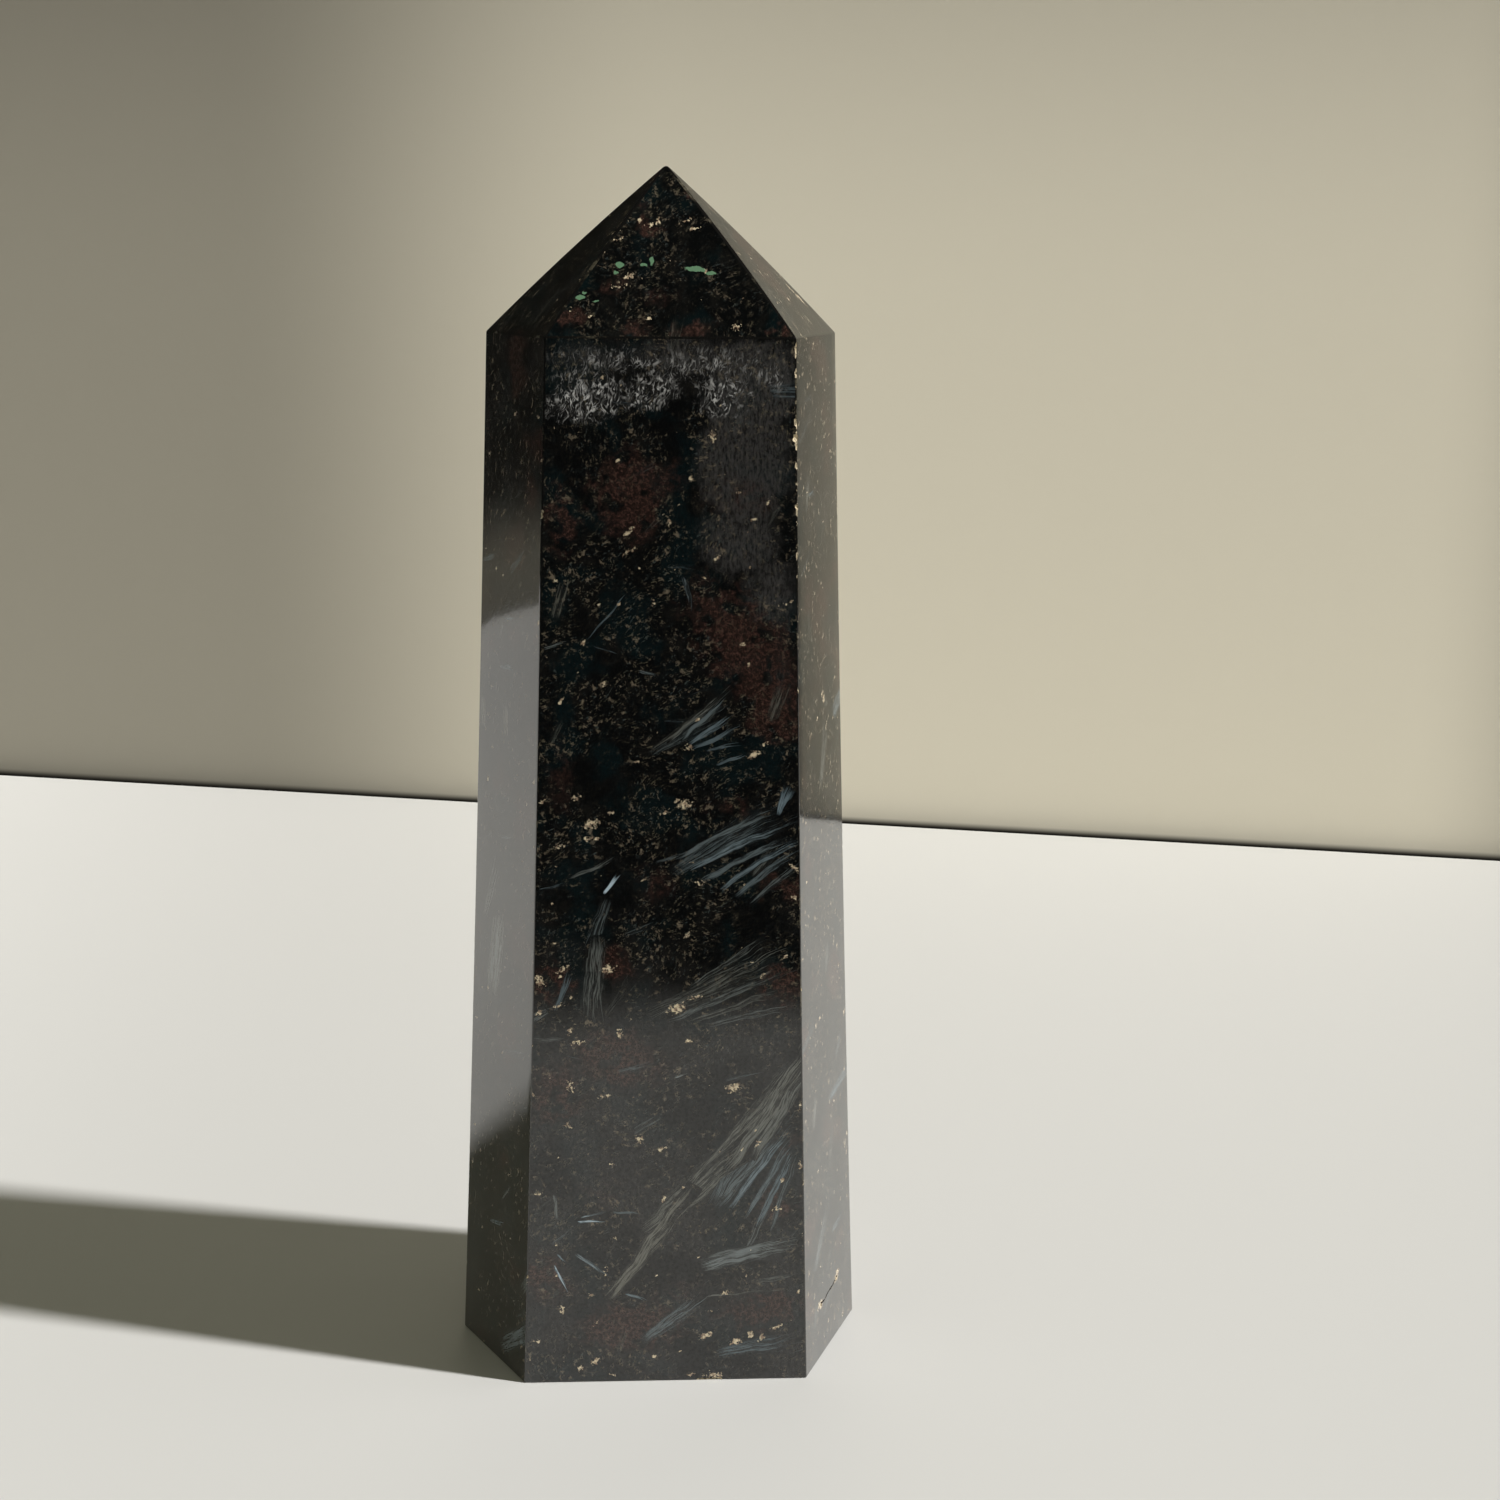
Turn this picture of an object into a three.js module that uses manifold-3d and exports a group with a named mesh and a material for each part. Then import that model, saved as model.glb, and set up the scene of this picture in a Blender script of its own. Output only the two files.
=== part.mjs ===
// A polished generator point of arfvedsonite: one solid of black stone, cut as a six-sided tapered
// tower with a six-facet pyramid tip, a flat base, narrow softened arrises, small chips along the
// edges and one natural fissure near the foot.
//
// Millimetres, +Z up. The origin is the middle of the base, and the broad front face looks to -Y.

import * as THREE from "three";
import { mergeVertices } from "three/addons/utils/BufferGeometryUtils.js";
import Module from "manifold-3d";

// Driving dimensions, in millimetres and degrees

const SHOULDER_HEIGHT = 139.7;
const TIP = new THREE.Vector3(1.0, 0.2, 161.0);

// The side faces, anticlockwise seen from above. Each looks out at an angle from +X, stands its
// reach from the middle at the foot, and leans inwards from the upright.
const SIDE_FACES = [
  { name: "front", looks: 270, reach: 19.25, lean: 1.5 },
  { name: "right front", looks: 338.4, reach: 25.35, lean: 1.57 },
  { name: "right back", looks: 27.5, reach: 25.4, lean: 1.9 },
  { name: "back", looks: 90, reach: 19.25, lean: 1.7 },
  { name: "left back", looks: 158.4, reach: 25.35, lean: 1.77 },
  { name: "left front", looks: 207.5, reach: 25.4, lean: 2.22 },
];

// Hand polishing leaves every edge a narrow flat, the point worn, the sides drawn in a little at mid
// height, each face standing out a little in its middle, and the tip's facets slightly full.
const ARRIS = 0.4;
const BASE_ARRIS = 0.5;
const POINT_WORN = 0.25;
const WAIST = 0.2;
const FACE_CROWN = 0.1;
const TIP_CROWN = 0.35;

// Chips on the edge between the front and the right front face: height of the middle, length along
// the edge, and depth.
const FRONT_EDGE_CHIPS = [
  { height: 138.2, length: 1.5, bite: 0.35 },
  { height: 135.4, length: 1.8, bite: 0.4 },
  { height: 129.1, length: 1.7, bite: 0.5 },
  { height: 126.9, length: 2.8, bite: 0.65 },
  { height: 123.9, length: 1.6, bite: 0.4 },
  { height: 118.6, length: 2.2, bite: 0.55 },
  { height: 116.5, length: 1.2, bite: 0.35 },
  { height: 112.4, length: 1.6, bite: 0.35 },
  { height: 101.5, length: 1.2, bite: 0.3 },
  { height: 95.0, length: 2.4, bite: 0.35 },
];
const SHOULDER_CHIP = { length: 1.6, bite: 0.5 };
const BASE_CHIP = { middle: 6.6, length: 3.8, bite: 0.45 };

// The edges of the sides each have a few smaller chips, spread at random.
const SMALL_CHIPS_PER_EDGE = 3;
const SMALL_CHIP = { shortest: 0.7, longest: 1.6, bite: 0.3 };
const CHIP_SPREAD = 0.4;
const RANDOM_START = 41;

// The fissure in the right front face: places along the face from its middle, and heights.
const FISSURE_PATH = [
  { along: -3.3, height: 7.6 },
  { along: -1.6, height: 7.55 },
  { along: 0.2, height: 7.9 },
  { along: 1.9, height: 7.95 },
  { along: 4.0, height: 8.3 },
];
const FISSURE_GAPE = 0.22;
const FISSURE_DEPTH = 0.55;

// How finely the surface is laid out: places across a face, from edge to edge, and places up the
// sides and up the tip, from bottom to top.
const ACROSS = [0, 0.12, 0.5, 0.88, 1];
const UP_SIDE = [0.15, 0.38, 0.62, 0.85];
const UP_TIP = [0.12, 0.35, 0.6, 0.82, 0.94, 0.985];

// Slivers thinner than this, left where cuts meet, are merged away.
const SLIVER = 0.03;

const wasm = await Module();
wasm.setup();

const radians = THREE.MathUtils.degToRad;
const faceCount = SIDE_FACES.length;

// Unit vector, level, that side face k looks along.
function facing(k) {
  const angle = radians(SIDE_FACES[k % faceCount].looks);
  return new THREE.Vector3(Math.cos(angle), Math.sin(angle), 0);
}

// The corner between side face k and the next one at a height, as if the edge were sharp. An
// inset moves both faces in.
function sideCorner(k, height, inset = 0) {
  const [a, b] = [SIDE_FACES[k % faceCount], SIDE_FACES[(k + 1) % faceCount]];
  const [angleA, angleB] = [radians(a.looks), radians(b.looks)];
  const reachA = a.reach - height * Math.tan(radians(a.lean)) - inset;
  const reachB = b.reach - height * Math.tan(radians(b.lean)) - inset;
  const turn = Math.sin(angleB - angleA);
  return new THREE.Vector3(
    (reachA * Math.sin(angleB) - reachB * Math.sin(angleA)) / turn,
    (reachB * Math.cos(angleA) - reachA * Math.cos(angleB)) / turn,
    height,
  );
}

// The same corner further up, on the tip's slanted edge: 0 at the shoulder, 1 at the point.
function tipCorner(k, climb) {
  return sideCorner(k, SHOULDER_HEIGHT).lerp(TIP, climb);
}

// The way that the tip's facet over side face k looks.
function tipFacing(k) {
  const left = sideCorner(k + faceCount - 1, SHOULDER_HEIGHT);
  const right = sideCorner(k, SHOULDER_HEIGHT);
  return right.clone().sub(left).cross(TIP.clone().sub(left)).normalize();
}

// One ring of the surface, as a function of the face and the place across it. Bulge is how far
// the whole ring stands out from the flat faces.
function ring(cornerAt, facingAt, bulge) {
  return (k, across) => {
    const left = cornerAt(k + faceCount - 1);
    const right = cornerAt(k);
    const edge = Math.min(ARRIS / left.distanceTo(right), 0.3);
    const crown = FACE_CROWN * (1 - (2 * across - 1) ** 4);
    return left
      .lerp(right, THREE.MathUtils.lerp(edge, 1 - edge, across))
      .addScaledVector(facingAt(k), bulge + crown);
  };
}

function sideRing(height, inset = 0) {
  const rise = height / SHOULDER_HEIGHT;
  return ring((k) => sideCorner(k, height, inset), facing, -4 * WAIST * rise * (1 - rise));
}

function tipRing(climb) {
  return ring((k) => tipCorner(k, climb), tipFacing, 4 * TIP_CROWN * climb * (1 - climb));
}

// The rings from the base to the worn point. The shoulder's own arris is left between the last
// ring of the sides and the first ring of the tip.
function towerRings() {
  const facetLength = TIP.distanceTo(sideCorner(0, SHOULDER_HEIGHT));
  return [
    sideRing(0, BASE_ARRIS),
    sideRing(BASE_ARRIS),
    ...UP_SIDE.map((rise) => sideRing(rise * SHOULDER_HEIGHT)),
    sideRing(SHOULDER_HEIGHT - ARRIS),
    tipRing(ARRIS / facetLength),
    ...UP_TIP.map((climb) => tipRing(climb)),
  ];
}

// A cylinder's grid of vertices, laid out again as the tower: its columns go round the faces from
// the front, and its rows are the rings.
function towerGeometry() {
  const rings = towerRings();
  const columns = faceCount * ACROSS.length;
  const rows = rings.length - 1;
  const grid = new THREE.CylinderGeometry(1, 1, rows, columns, rows);
  grid.deleteAttribute("normal");
  grid.deleteAttribute("uv");
  const geometry = mergeVertices(grid);
  const position = geometry.getAttribute("position");
  const place = new THREE.Vector3();
  for (let i = 0; i < position.count; i += 1) {
    place.fromBufferAttribute(position, i);
    const row = Math.round(place.y + rows / 2);
    const turn = (Math.atan2(place.x, place.z) / (2 * Math.PI) + 1) * columns;
    const column = Math.round(turn) % columns;
    if (Math.hypot(place.x, place.z) < 0.5) {
      const point = new THREE.Vector3(TIP.x, TIP.y, TIP.z - POINT_WORN);
      place.copy(row === 0 ? new THREE.Vector3() : point);
    } else {
      const k = Math.floor(column / ACROSS.length);
      place.copy(rings[row](k, ACROSS[column % ACROSS.length]));
    }
    position.setXYZ(i, place.x, place.y, place.z);
  }
  return geometry;
}

// A small angular lump, stretched along a direction and turned so that it bites into an edge or a
// face that looks along outward.
function lump(middle, along, outward, halfLength, halfWidth, depth) {
  const geometry = new THREE.IcosahedronGeometry(1, 0);
  const across = outward.clone().cross(along).normalize();
  const out = along.clone().cross(across).normalize();
  const turn = new THREE.Matrix4().makeBasis(along.clone().normalize(), across, out);
  geometry.scale(halfLength, halfWidth, depth);
  geometry.applyMatrix4(turn);
  geometry.translate(middle.x, middle.y, middle.z);
  return geometry;
}

function solidFrom(geometry) {
  geometry.deleteAttribute("normal");
  geometry.deleteAttribute("uv");
  const merged = mergeVertices(geometry);
  return new wasm.Manifold(
    new wasm.Mesh({
      numProp: 3,
      vertProperties: merged.getAttribute("position").array,
      triVerts: new Uint32Array(merged.index.array),
    }),
  );
}

// An edge from one sharp corner to another, with the ways that the two faces beside it look, and
// how far its middle stands out.
function edgeBetween(from, to, facingA, facingB, fullness) {
  const outward = facingA.clone().add(facingB).normalize();
  const softened = ARRIS * Math.sin(facingA.angleTo(facingB) / 2);
  return { from, to, outward, softened, fullness };
}

function uprightEdge(k) {
  return edgeBetween(
    sideCorner(k, 0),
    sideCorner(k, SHOULDER_HEIGHT),
    facing(k),
    facing(k + 1),
    -WAIST,
  );
}

function shoulderEdge(k) {
  return edgeBetween(tipCorner(k + faceCount - 1, 0), tipCorner(k, 0), facing(k), tipFacing(k), 0);
}

function baseEdge(k) {
  const down = new THREE.Vector3(0, 0, -1);
  return edgeBetween(sideCorner(k + faceCount - 1, 0), sideCorner(k, 0), facing(k), down, 0);
}

// A chip in an edge, share of the way along it.
function chip(edge, share, length, bite) {
  const along = edge.to.clone().sub(edge.from);
  const middle = edge.from.clone().lerp(edge.to, share);
  const standsOut = 4 * edge.fullness * share * (1 - share) - edge.softened;
  middle.addScaledVector(edge.outward, standsOut);
  return solidFrom(lump(middle, along, edge.outward, length / 2, CHIP_SPREAD * length, bite));
}

function statedChips() {
  const front = uprightEdge(0);
  const foot = baseEdge(0);
  const footWidth = foot.from.distanceTo(foot.to);
  return [
    ...FRONT_EDGE_CHIPS.map((c) => chip(front, c.height / SHOULDER_HEIGHT, c.length, c.bite)),
    chip(uprightEdge(1), 1, SHOULDER_CHIP.length, SHOULDER_CHIP.bite),
    chip(foot, (BASE_CHIP.middle - foot.from.x) / footWidth, BASE_CHIP.length, BASE_CHIP.bite),
  ];
}

function smallChips() {
  THREE.MathUtils.seededRandom(RANDOM_START);
  const random = () => THREE.MathUtils.seededRandom();
  const chips = [];
  for (let k = 0; k < faceCount; k += 1) {
    for (const edge of [uprightEdge(k), shoulderEdge(k), baseEdge(k)]) {
      const edgeLength = edge.from.distanceTo(edge.to);
      const count = edgeLength > SHOULDER_HEIGHT / 2 ? SMALL_CHIPS_PER_EDGE : 1;
      for (let n = 0; n < count; n += 1) {
        const share = (n + 0.15 + 0.7 * random()) / count;
        const length = THREE.MathUtils.lerp(SMALL_CHIP.shortest, SMALL_CHIP.longest, random());
        chips.push(chip(edge, share, length, SMALL_CHIP.bite));
      }
    }
  }
  return chips;
}

// The fissure: a chain of thin slivers, each from one point of its path to the next.
function fissure() {
  const k = 1;
  const outward = facing(k);
  const sideways = new THREE.Vector3(-outward.y, outward.x, 0);
  const { reach, lean } = SIDE_FACES[k];
  const points = FISSURE_PATH.map(({ along, height }) =>
    outward
      .clone()
      .multiplyScalar(reach - height * Math.tan(radians(lean)))
      .addScaledVector(sideways, along)
      .setZ(height),
  );
  return points.slice(1).map((to, i) => {
    const from = points[i];
    const middle = from.clone().lerp(to, 0.5);
    const halfLength = from.distanceTo(to) * 0.6;
    return solidFrom(lump(middle, to.clone().sub(from), outward, halfLength, FISSURE_GAPE, FISSURE_DEPTH));
  });
}

function geometryFrom(solid) {
  const { vertProperties, triVerts, numProp } = solid.getMesh();
  const geometry = new THREE.BufferGeometry();
  const corners = new THREE.InterleavedBuffer(vertProperties, numProp);
  geometry.setAttribute("position", new THREE.InterleavedBufferAttribute(corners, 3, 0));
  geometry.setIndex(new THREE.BufferAttribute(triVerts, 1));
  const faceted = geometry.toNonIndexed();
  faceted.computeVertexNormals();
  return faceted;
}

function stone() {
  const cuts = wasm.Manifold.union([...statedChips(), ...smallChips(), ...fissure()]);
  const solid = solidFrom(towerGeometry()).subtract(cuts).simplify(SLIVER);
  const polishedBlack = new THREE.MeshStandardMaterial({
    color: 0x17191b,
    roughness: 0.12,
    metalness: 0,
  });
  const mesh = new THREE.Mesh(geometryFrom(solid), polishedBlack);
  mesh.name = "arfvedsonite_point";
  return mesh;
}

const generatorPoint = new THREE.Group();
generatorPoint.add(stone());

export default generatorPoint;
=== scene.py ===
"""Arfvedsonite generator point: the polished stone tower, modelled and finished for Blender 4.5."""

import math
import random

import bmesh
import bpy
from mathutils import Matrix, Vector, noise


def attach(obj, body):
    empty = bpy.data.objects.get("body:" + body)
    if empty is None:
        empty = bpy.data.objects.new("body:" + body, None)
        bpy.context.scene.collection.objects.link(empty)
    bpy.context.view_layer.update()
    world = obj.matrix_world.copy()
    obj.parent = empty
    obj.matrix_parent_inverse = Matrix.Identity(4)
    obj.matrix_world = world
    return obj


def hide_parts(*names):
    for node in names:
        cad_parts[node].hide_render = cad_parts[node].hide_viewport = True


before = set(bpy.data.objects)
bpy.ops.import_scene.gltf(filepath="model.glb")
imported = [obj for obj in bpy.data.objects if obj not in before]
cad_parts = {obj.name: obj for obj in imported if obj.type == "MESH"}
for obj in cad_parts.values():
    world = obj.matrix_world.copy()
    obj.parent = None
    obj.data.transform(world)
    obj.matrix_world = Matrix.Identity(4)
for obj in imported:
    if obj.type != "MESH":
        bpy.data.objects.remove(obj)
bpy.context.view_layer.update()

bl_info = {
    "name": "Arfvedsonite Point",
    "version": (1, 0, 0),
    "blender": (4, 5, 0),
    "location": "View3D > Sidebar > Stone",
    "description": "Builds a polished six-sided arfvedsonite tower and its plain studio",
    "category": "Object",
}

MM = 0.001
STONE = "polished_arfvedsonite_stone"
# The six ground sides, anticlockwise from above: the way each looks in degrees, how far it
# stands from the middle at the base in millimetres, and how many degrees it leans in.
SIDES = {
    "front": (270.0, 19.25, 1.5),
    "right front": (338.4, 25.35, 1.57),
    "right back": (27.5, 25.4, 1.9),
    "back": (90.0, 19.25, 1.7),
    "left back": (158.4, 25.35, 1.77),
    "left front": (207.5, 25.4, 2.22),
}
SIDE_NAMES = list(SIDES)
BASE_SLOT, BROKEN_SLOT, FISSURE_SLOT, ARRIS_SLOT, FIRST_ZONE_SLOT = range(6, 11)
# A face that looks further down than this is part of the base.
DOWNWARDS = -0.7
ARRIS_SEGMENTS = 3
# The cuts that let the stone be ground: level ones up the sides and up the tip, and upright ones at
# these millimetres from the middle of each side.
SIDE_ROWS = 22
TIP_ROWS = 9
COLUMNS = (-14.0, -7.0, 0.0, 7.0, 14.0)
# The tip facets swell outwards and upwards by these shares of their fullness. The fullness of a
# side begins over this many millimetres from the base.
TIP_FACET_OUT, TIP_FACET_UP = 0.75, 0.66
CROWN_FADE = 4.0
# The front side is finished in zones, so that each holds only its own marks. These are the
# rows of cuts that divide it.
ZONE_ROWS = (6, 10, 16, 22)
# Chips on the edge between the front and right front sides: height, length and bite in mm.
FRONT_EDGE_CHIPS = (
    (138.2, 2.2, 0.2),
    (135.4, 1.4, 0.2),
    (129.1, 1.6, 0.28),
    (126.9, 2.6, 0.4),
    (123.9, 1.4, 0.24),
    (118.6, 1.8, 0.3),
    (116.5, 1.0, 0.2),
    (112.4, 1.6, 0.22),
    (101.5, 1.2, 0.2),
    (95.0, 2.4, 0.24),
)
# Every edge has a few smaller ones: shares of its height and lengths between which they fall.
SMALL_CHIPS_PER_EDGE = 3
SMALL_CHIP_PLACES = (0.05, 0.95)
SMALL_CHIP_LENGTHS = (0.7, 1.6)
SMALL_CHIP_BITE = 0.25
CHIP_SEED = 41
# A chip is cut out by a ragged lump that stands outside the edge by one share of the bite, and
# measures two others outwards and across it.
CHIP_OUT, CHIP_DEPTH, CHIP_WIDTH = 0.35, 1.35, 1.5
RAGGED = 0.5
LUMP_COARSE, LUMP_FINE, LUMP_FINE_SHARE = 1.6, 4.2, 0.6
# The chip on the right shoulder: its shift from the corner, and its half sizes up, out and across.
SHOULDER_CHIP_SHIFT = Vector((0.35, 0.1, 0.2))
SHOULDER_CHIP_SIZES = Vector((0.7, 0.5, 0.8))
SHOULDER_RAGGED = 0.4
# The bruise on the front edge of the base: where it is, and its half sizes along, out and up.
BRUISE_ACROSS, BRUISE_OUT = 6.6, 0.1
BRUISE_SIZES = Vector((1.9, 0.45, 0.4))
# The fissure on the right front side: distance along the side and height, in mm.
FISSURE_PATH = ((-3.3, 7.6), (-1.6, 7.55), (0.2, 7.9), (1.9, 7.95), (4.0, 8.3))
FISSURE_DEPTH, FISSURE_GAPE = 0.5, 0.13
# Each stretch of it reaches past its ends by this share of its length from the middle, and a pit
# lies at each end of the path: which end, and its radius.
FISSURE_OVERLAP = 0.62
FISSURE_PITS = ((-1, 0.33), (0, 0.3))
FISSURE_PIT_SHAPE = Vector((1.3, 1, 1))
# How the stone is unfolded flat, in mm: the sides in this order from the left with a gap between
# them, the tip facets stretched to their true length, and the base smaller, in the notch over the
# two wide sides, with its middle lifted so far above the shoulder.
UNFOLDED = ("right front", "right back", "front", "back", "left back", "left front")
UNFOLDED_GAP = 1.2
TIP_STRETCH = 1.4
BASE_SHARE = 0.6
BASE_LIFT = 31.5
# The marks on the front side follow, in millimetres across from its middle and up from the base.
# Sheaves of fibres: where one starts, its heading in degrees, length, half width at the root
# and at the far end, sideways bend, strength, and how olive it is instead of blue.
FRONT_SHEAVES = (
    (-1.5, 86.5, 33, 12.5, 0.4, 2.6, 0, 0.42, 0.4),  # dim fill behind the upper fan
    (1, 70.5, 34, 19, 1, 3.6, -1.5, 0.5, 0.25),  # behind the swept sheaf
    (-2, 51.5, 25, 22, 1, 3.8, -0.5, 0.45, 0.7),  # behind the wide sheaf
    (6.5, 24.5, 57, 18, 1.6, 4.6, 0, 0.55, 0.25),  # behind the blue fan
    (3, 110, -78, 5, 0.5, 0.3, 0, 0.6, 0.2),  # upright blue blade
    (-9.5, 101.5, 49, 8, 0.1, 0.5, 0, 0.5, 0.1),  # teal needles
    (-9, 101, -20, 4, 0.1, 0.2, 0, 0.4, 0.1),  # teal needle below them
    (-15, 100.5, 13, 3.5, 0.3, 0.2, 0, 0.6, 0.5),  # needles at the left edge
    (-3, 97.5, -11, 3, 0.3, 0.2, 0, 0.6, 0.3),  # short teal blade
    (-1.5, 87, 38, 12.5, 0.2, 0.6, 0, 0.5, 0.8),  # upper fan, from its upper blade down
    (0.5, 88, 41, 11.5, 0.2, 0.7, 0, 0.65, 0.7),
    (2.5, 88.5, 43, 8.5, 0.2, 0.7, 0, 0.75, 0.3),
    (3.5, 88, 34, 7.5, 0.3, 0.7, 0, 0.8, 0.1),
    (4, 87.5, 24, 7, 0.3, 0.7, 0, 0.7, 0.1),
    (5.5, 87, 14, 5, 0.3, 0.5, 0, 0.5, 0.1),
    (7, 85, 23, 4.5, 0.2, 0.4, 0, 0.7, 0.1),  # small blue needle
    (1.5, 72.5, 31, 17.5, 0.3, 0.8, -1.5, 0.7, 0.3),  # swept sheaf, from its upper blade down
    (3.5, 71, 32, 16.5, 0.4, 0.8, -2, 0.85, 0.15),
    (5, 69.5, 33, 15.5, 0.4, 0.8, -2, 0.7, 0.25),
    (7.5, 68.5, 37, 14.5, 0.4, 0.8, -1.5, 0.8, 0.1),
    (9.5, 67.5, 40, 12.5, 0.4, 0.9, -1, 0.65, 0.2),
    (11.5, 66.5, 43, 9, 0.3, 0.8, -0.5, 0.55, 0.4),
    (-1, 72, 21, 10.5, 0.3, 0.4, 0, 0.45, 0.3),  # its long tail
    (15, 78.5, 64, 4.5, 0.3, 1.4, 0, 0.85, 0),  # blue fan at the right edge
    (-12.5, 70, 26, 8.5, 0.2, 0.5, 0, 0.6, 0.6),  # grey streak
    # The bright flash below is partly painted sheen: light off the needles, laid in as pale colour.
    (-7.5, 68, 53, 3.5, 0.2, 0.6, 0, 1.6, 0),  # bright flash
    (-7, 67.5, -110, 8.5, 0.8, 1.8, 0, 0.45, 0.35),  # dim blade under the flash
    (-16, 69, 6, 4, 0.2, 0.3, 0, 0.45, 0.15),  # teal at the left edge
    (3, 55, 33, 15, 0.3, 0.7, 0, 0.5, 0.6),  # wide sheaf at mid height, from the top down
    (-1.5, 51, 30, 21, 0.4, 0.9, -0.5, 0.55, 0.75),
    (0.5, 50.5, 25, 19.5, 0.4, 0.9, -0.5, 0.6, 0.5),
    (3.5, 50.5, 21, 15.5, 0.4, 0.9, -0.5, 0.5, 0.7),
    (5.5, 50, 15, 13.5, 0.4, 0.9, -0.5, 0.5, 0.5),
    (-14, 52, 70, 7, 0.3, 0.8, 0, 0.65, 0.1),  # steep fan at the left
    (-8.5, 63, -93, 14.5, 1.4, 2.2, 0, 0.55, 0.6),  # dim upright blades
    (-17, 48.5, -2, 5.5, 0.5, 0.4, 0, 0.4, 0.55),  # level band at the left
    (1.5, 43, 19, 2.5, 0.2, 0.2, 0, 0.8, 0.6),  # short grey needle
    (-7.5, 11.5, 53, 21, 0.9, 1.9, 0.4, 0.72, 0.9),  # foot of the great sheaf
    (-2.5, 21, 44, 21, 1.5, 4, -0.8, 0.6, 0.8),  # its middle
    (5, 29, 50, 23, 0.9, 1.8, 0.4, 0.6, 0.8),  # its top, from the left
    (8.5, 29.5, 56, 22, 1, 2, 0.5, 0.75, 0.8),
    (12, 31, 61, 19, 0.9, 1.8, 0.4, 0.7, 0.7),
    (7.5, 25.5, 47, 14.5, 0.4, 0.9, 0, 0.65, 0.3),  # blue fan beside it, from the left
    (9, 24.5, 54, 15.5, 0.4, 1, 0, 0.85, 0.1),
    (11, 23, 59, 15, 0.4, 1, 0, 0.7, 0.2),
    (12.5, 21.5, 65, 14.5, 0.4, 0.9, 0, 0.75, 0.1),
    (14.5, 21, 72, 12.5, 0.4, 0.9, 0, 0.55, 0.3),
    (11, 17.5, 68, 11, 0.4, 0.9, 0, 0.5, 0.5),
    (5, 16.5, 15, 14.5, 1.4, 1.8, -0.5, 0.8, 0.5),  # long low sheaf
    (12.5, 14, 12, 6.5, 0.4, 0.5, 0, 0.5, 0.6),  # second low sheaf
    (5.5, 12, 5, 13.5, 0.2, 0.2, -0.3, 0.7, 0.75),  # pale trail
    (-14.5, 27, -83, 5, 0.5, 0.2, 0, 0.6, 0.55),  # blade at the left
    (-11.5, 23, -5, 4, 0.2, 0.2, 0.3, 1.2, 0),  # bright needle, lower
    (-11, 23.5, 17, 4.5, 0.2, 0.3, -0.3, 0.9, 0.15),  # bright needle, upper
    (-7, 24.5, -9, 4.5, 0.2, 0.3, 0.2, 0.6, 0.2),  # its tail
    (-14.5, 17, -64, 4.5, 0.2, 0.2, -0.2, 1.2, 0),  # steep cyan needle
    (-14, 18.5, -43, 2, 0.2, 0.2, 0, 0.8, 0),  # cyan tick
    (-11.5, 18.5, -39, 6, 0.3, 0.4, 0.2, 0.85, 0.15),  # blue blade
    (-5, 12.5, -17, 3.5, 0.2, 0.3, 0, 0.8, 0.1),  # small blue blade
    (-3, 5.5, 38, 12, 0.8, 1.8, 0, 0.6, 0.25),  # low grey sheaf
    (7, 3.5, 12, 12.5, 0.8, 2, 0, 0.55, 0.1),  # lowest sheaf
    (-15, 19.5, 41, 5.5, 0.2, 0.2, 0.3, 0.4, 0.3),  # faint sweep at the left
)
# Reddish clouds: middle, half length, half width, turn in degrees and strength.
GARNET_CLOUDS = (
    (-8, 27, 5, 4, 0, 0.4), (2, 12.5, 6, 2.5, 10, 0.4), (-4, 120, 6, 7.5, 10, 1.2),
    (-12.5, 117, 3, 6, 0, 1), (-0.5, 122, 4, 5.5, 90, 0.6), (10, 120, 7, 4, 0, 0.4),
    (10.5, 101, 13, 6.5, -52, 1.3), (14.5, 93.5, 5, 7.5, 10, 1.2), (9, 79.5, 5, 2, 0, 0.6),
    (16.5, 69, 2.5, 4.5, 90, 1), (-1, 69.5, 4, 3, 0, 0.5), (-13, 83.5, 3, 8, 0, 0.4),
    (-14.5, 56.5, 3.5, 4.5, 90, 1.1), (-6.5, 58.5, 4, 3, 10, 0.9), (16, 55.5, 4.5, 3.5, 0, 1.2),
    (-5.5, 45.5, 9, 5, -15, 1), (-14, 40.5, 5, 6.5, 0, 0.9), (15.5, 25, 3.5, 3, 0, 1.3),
    (18.5, 34, 1, 4, 90, 0.6), (-4, 8, 10.5, 5, 5, 1.1), (14, 10, 8, 3.5, 5, 1.2),
    (-16, 15, 4, 6, 60, 0.9),
)
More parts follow.
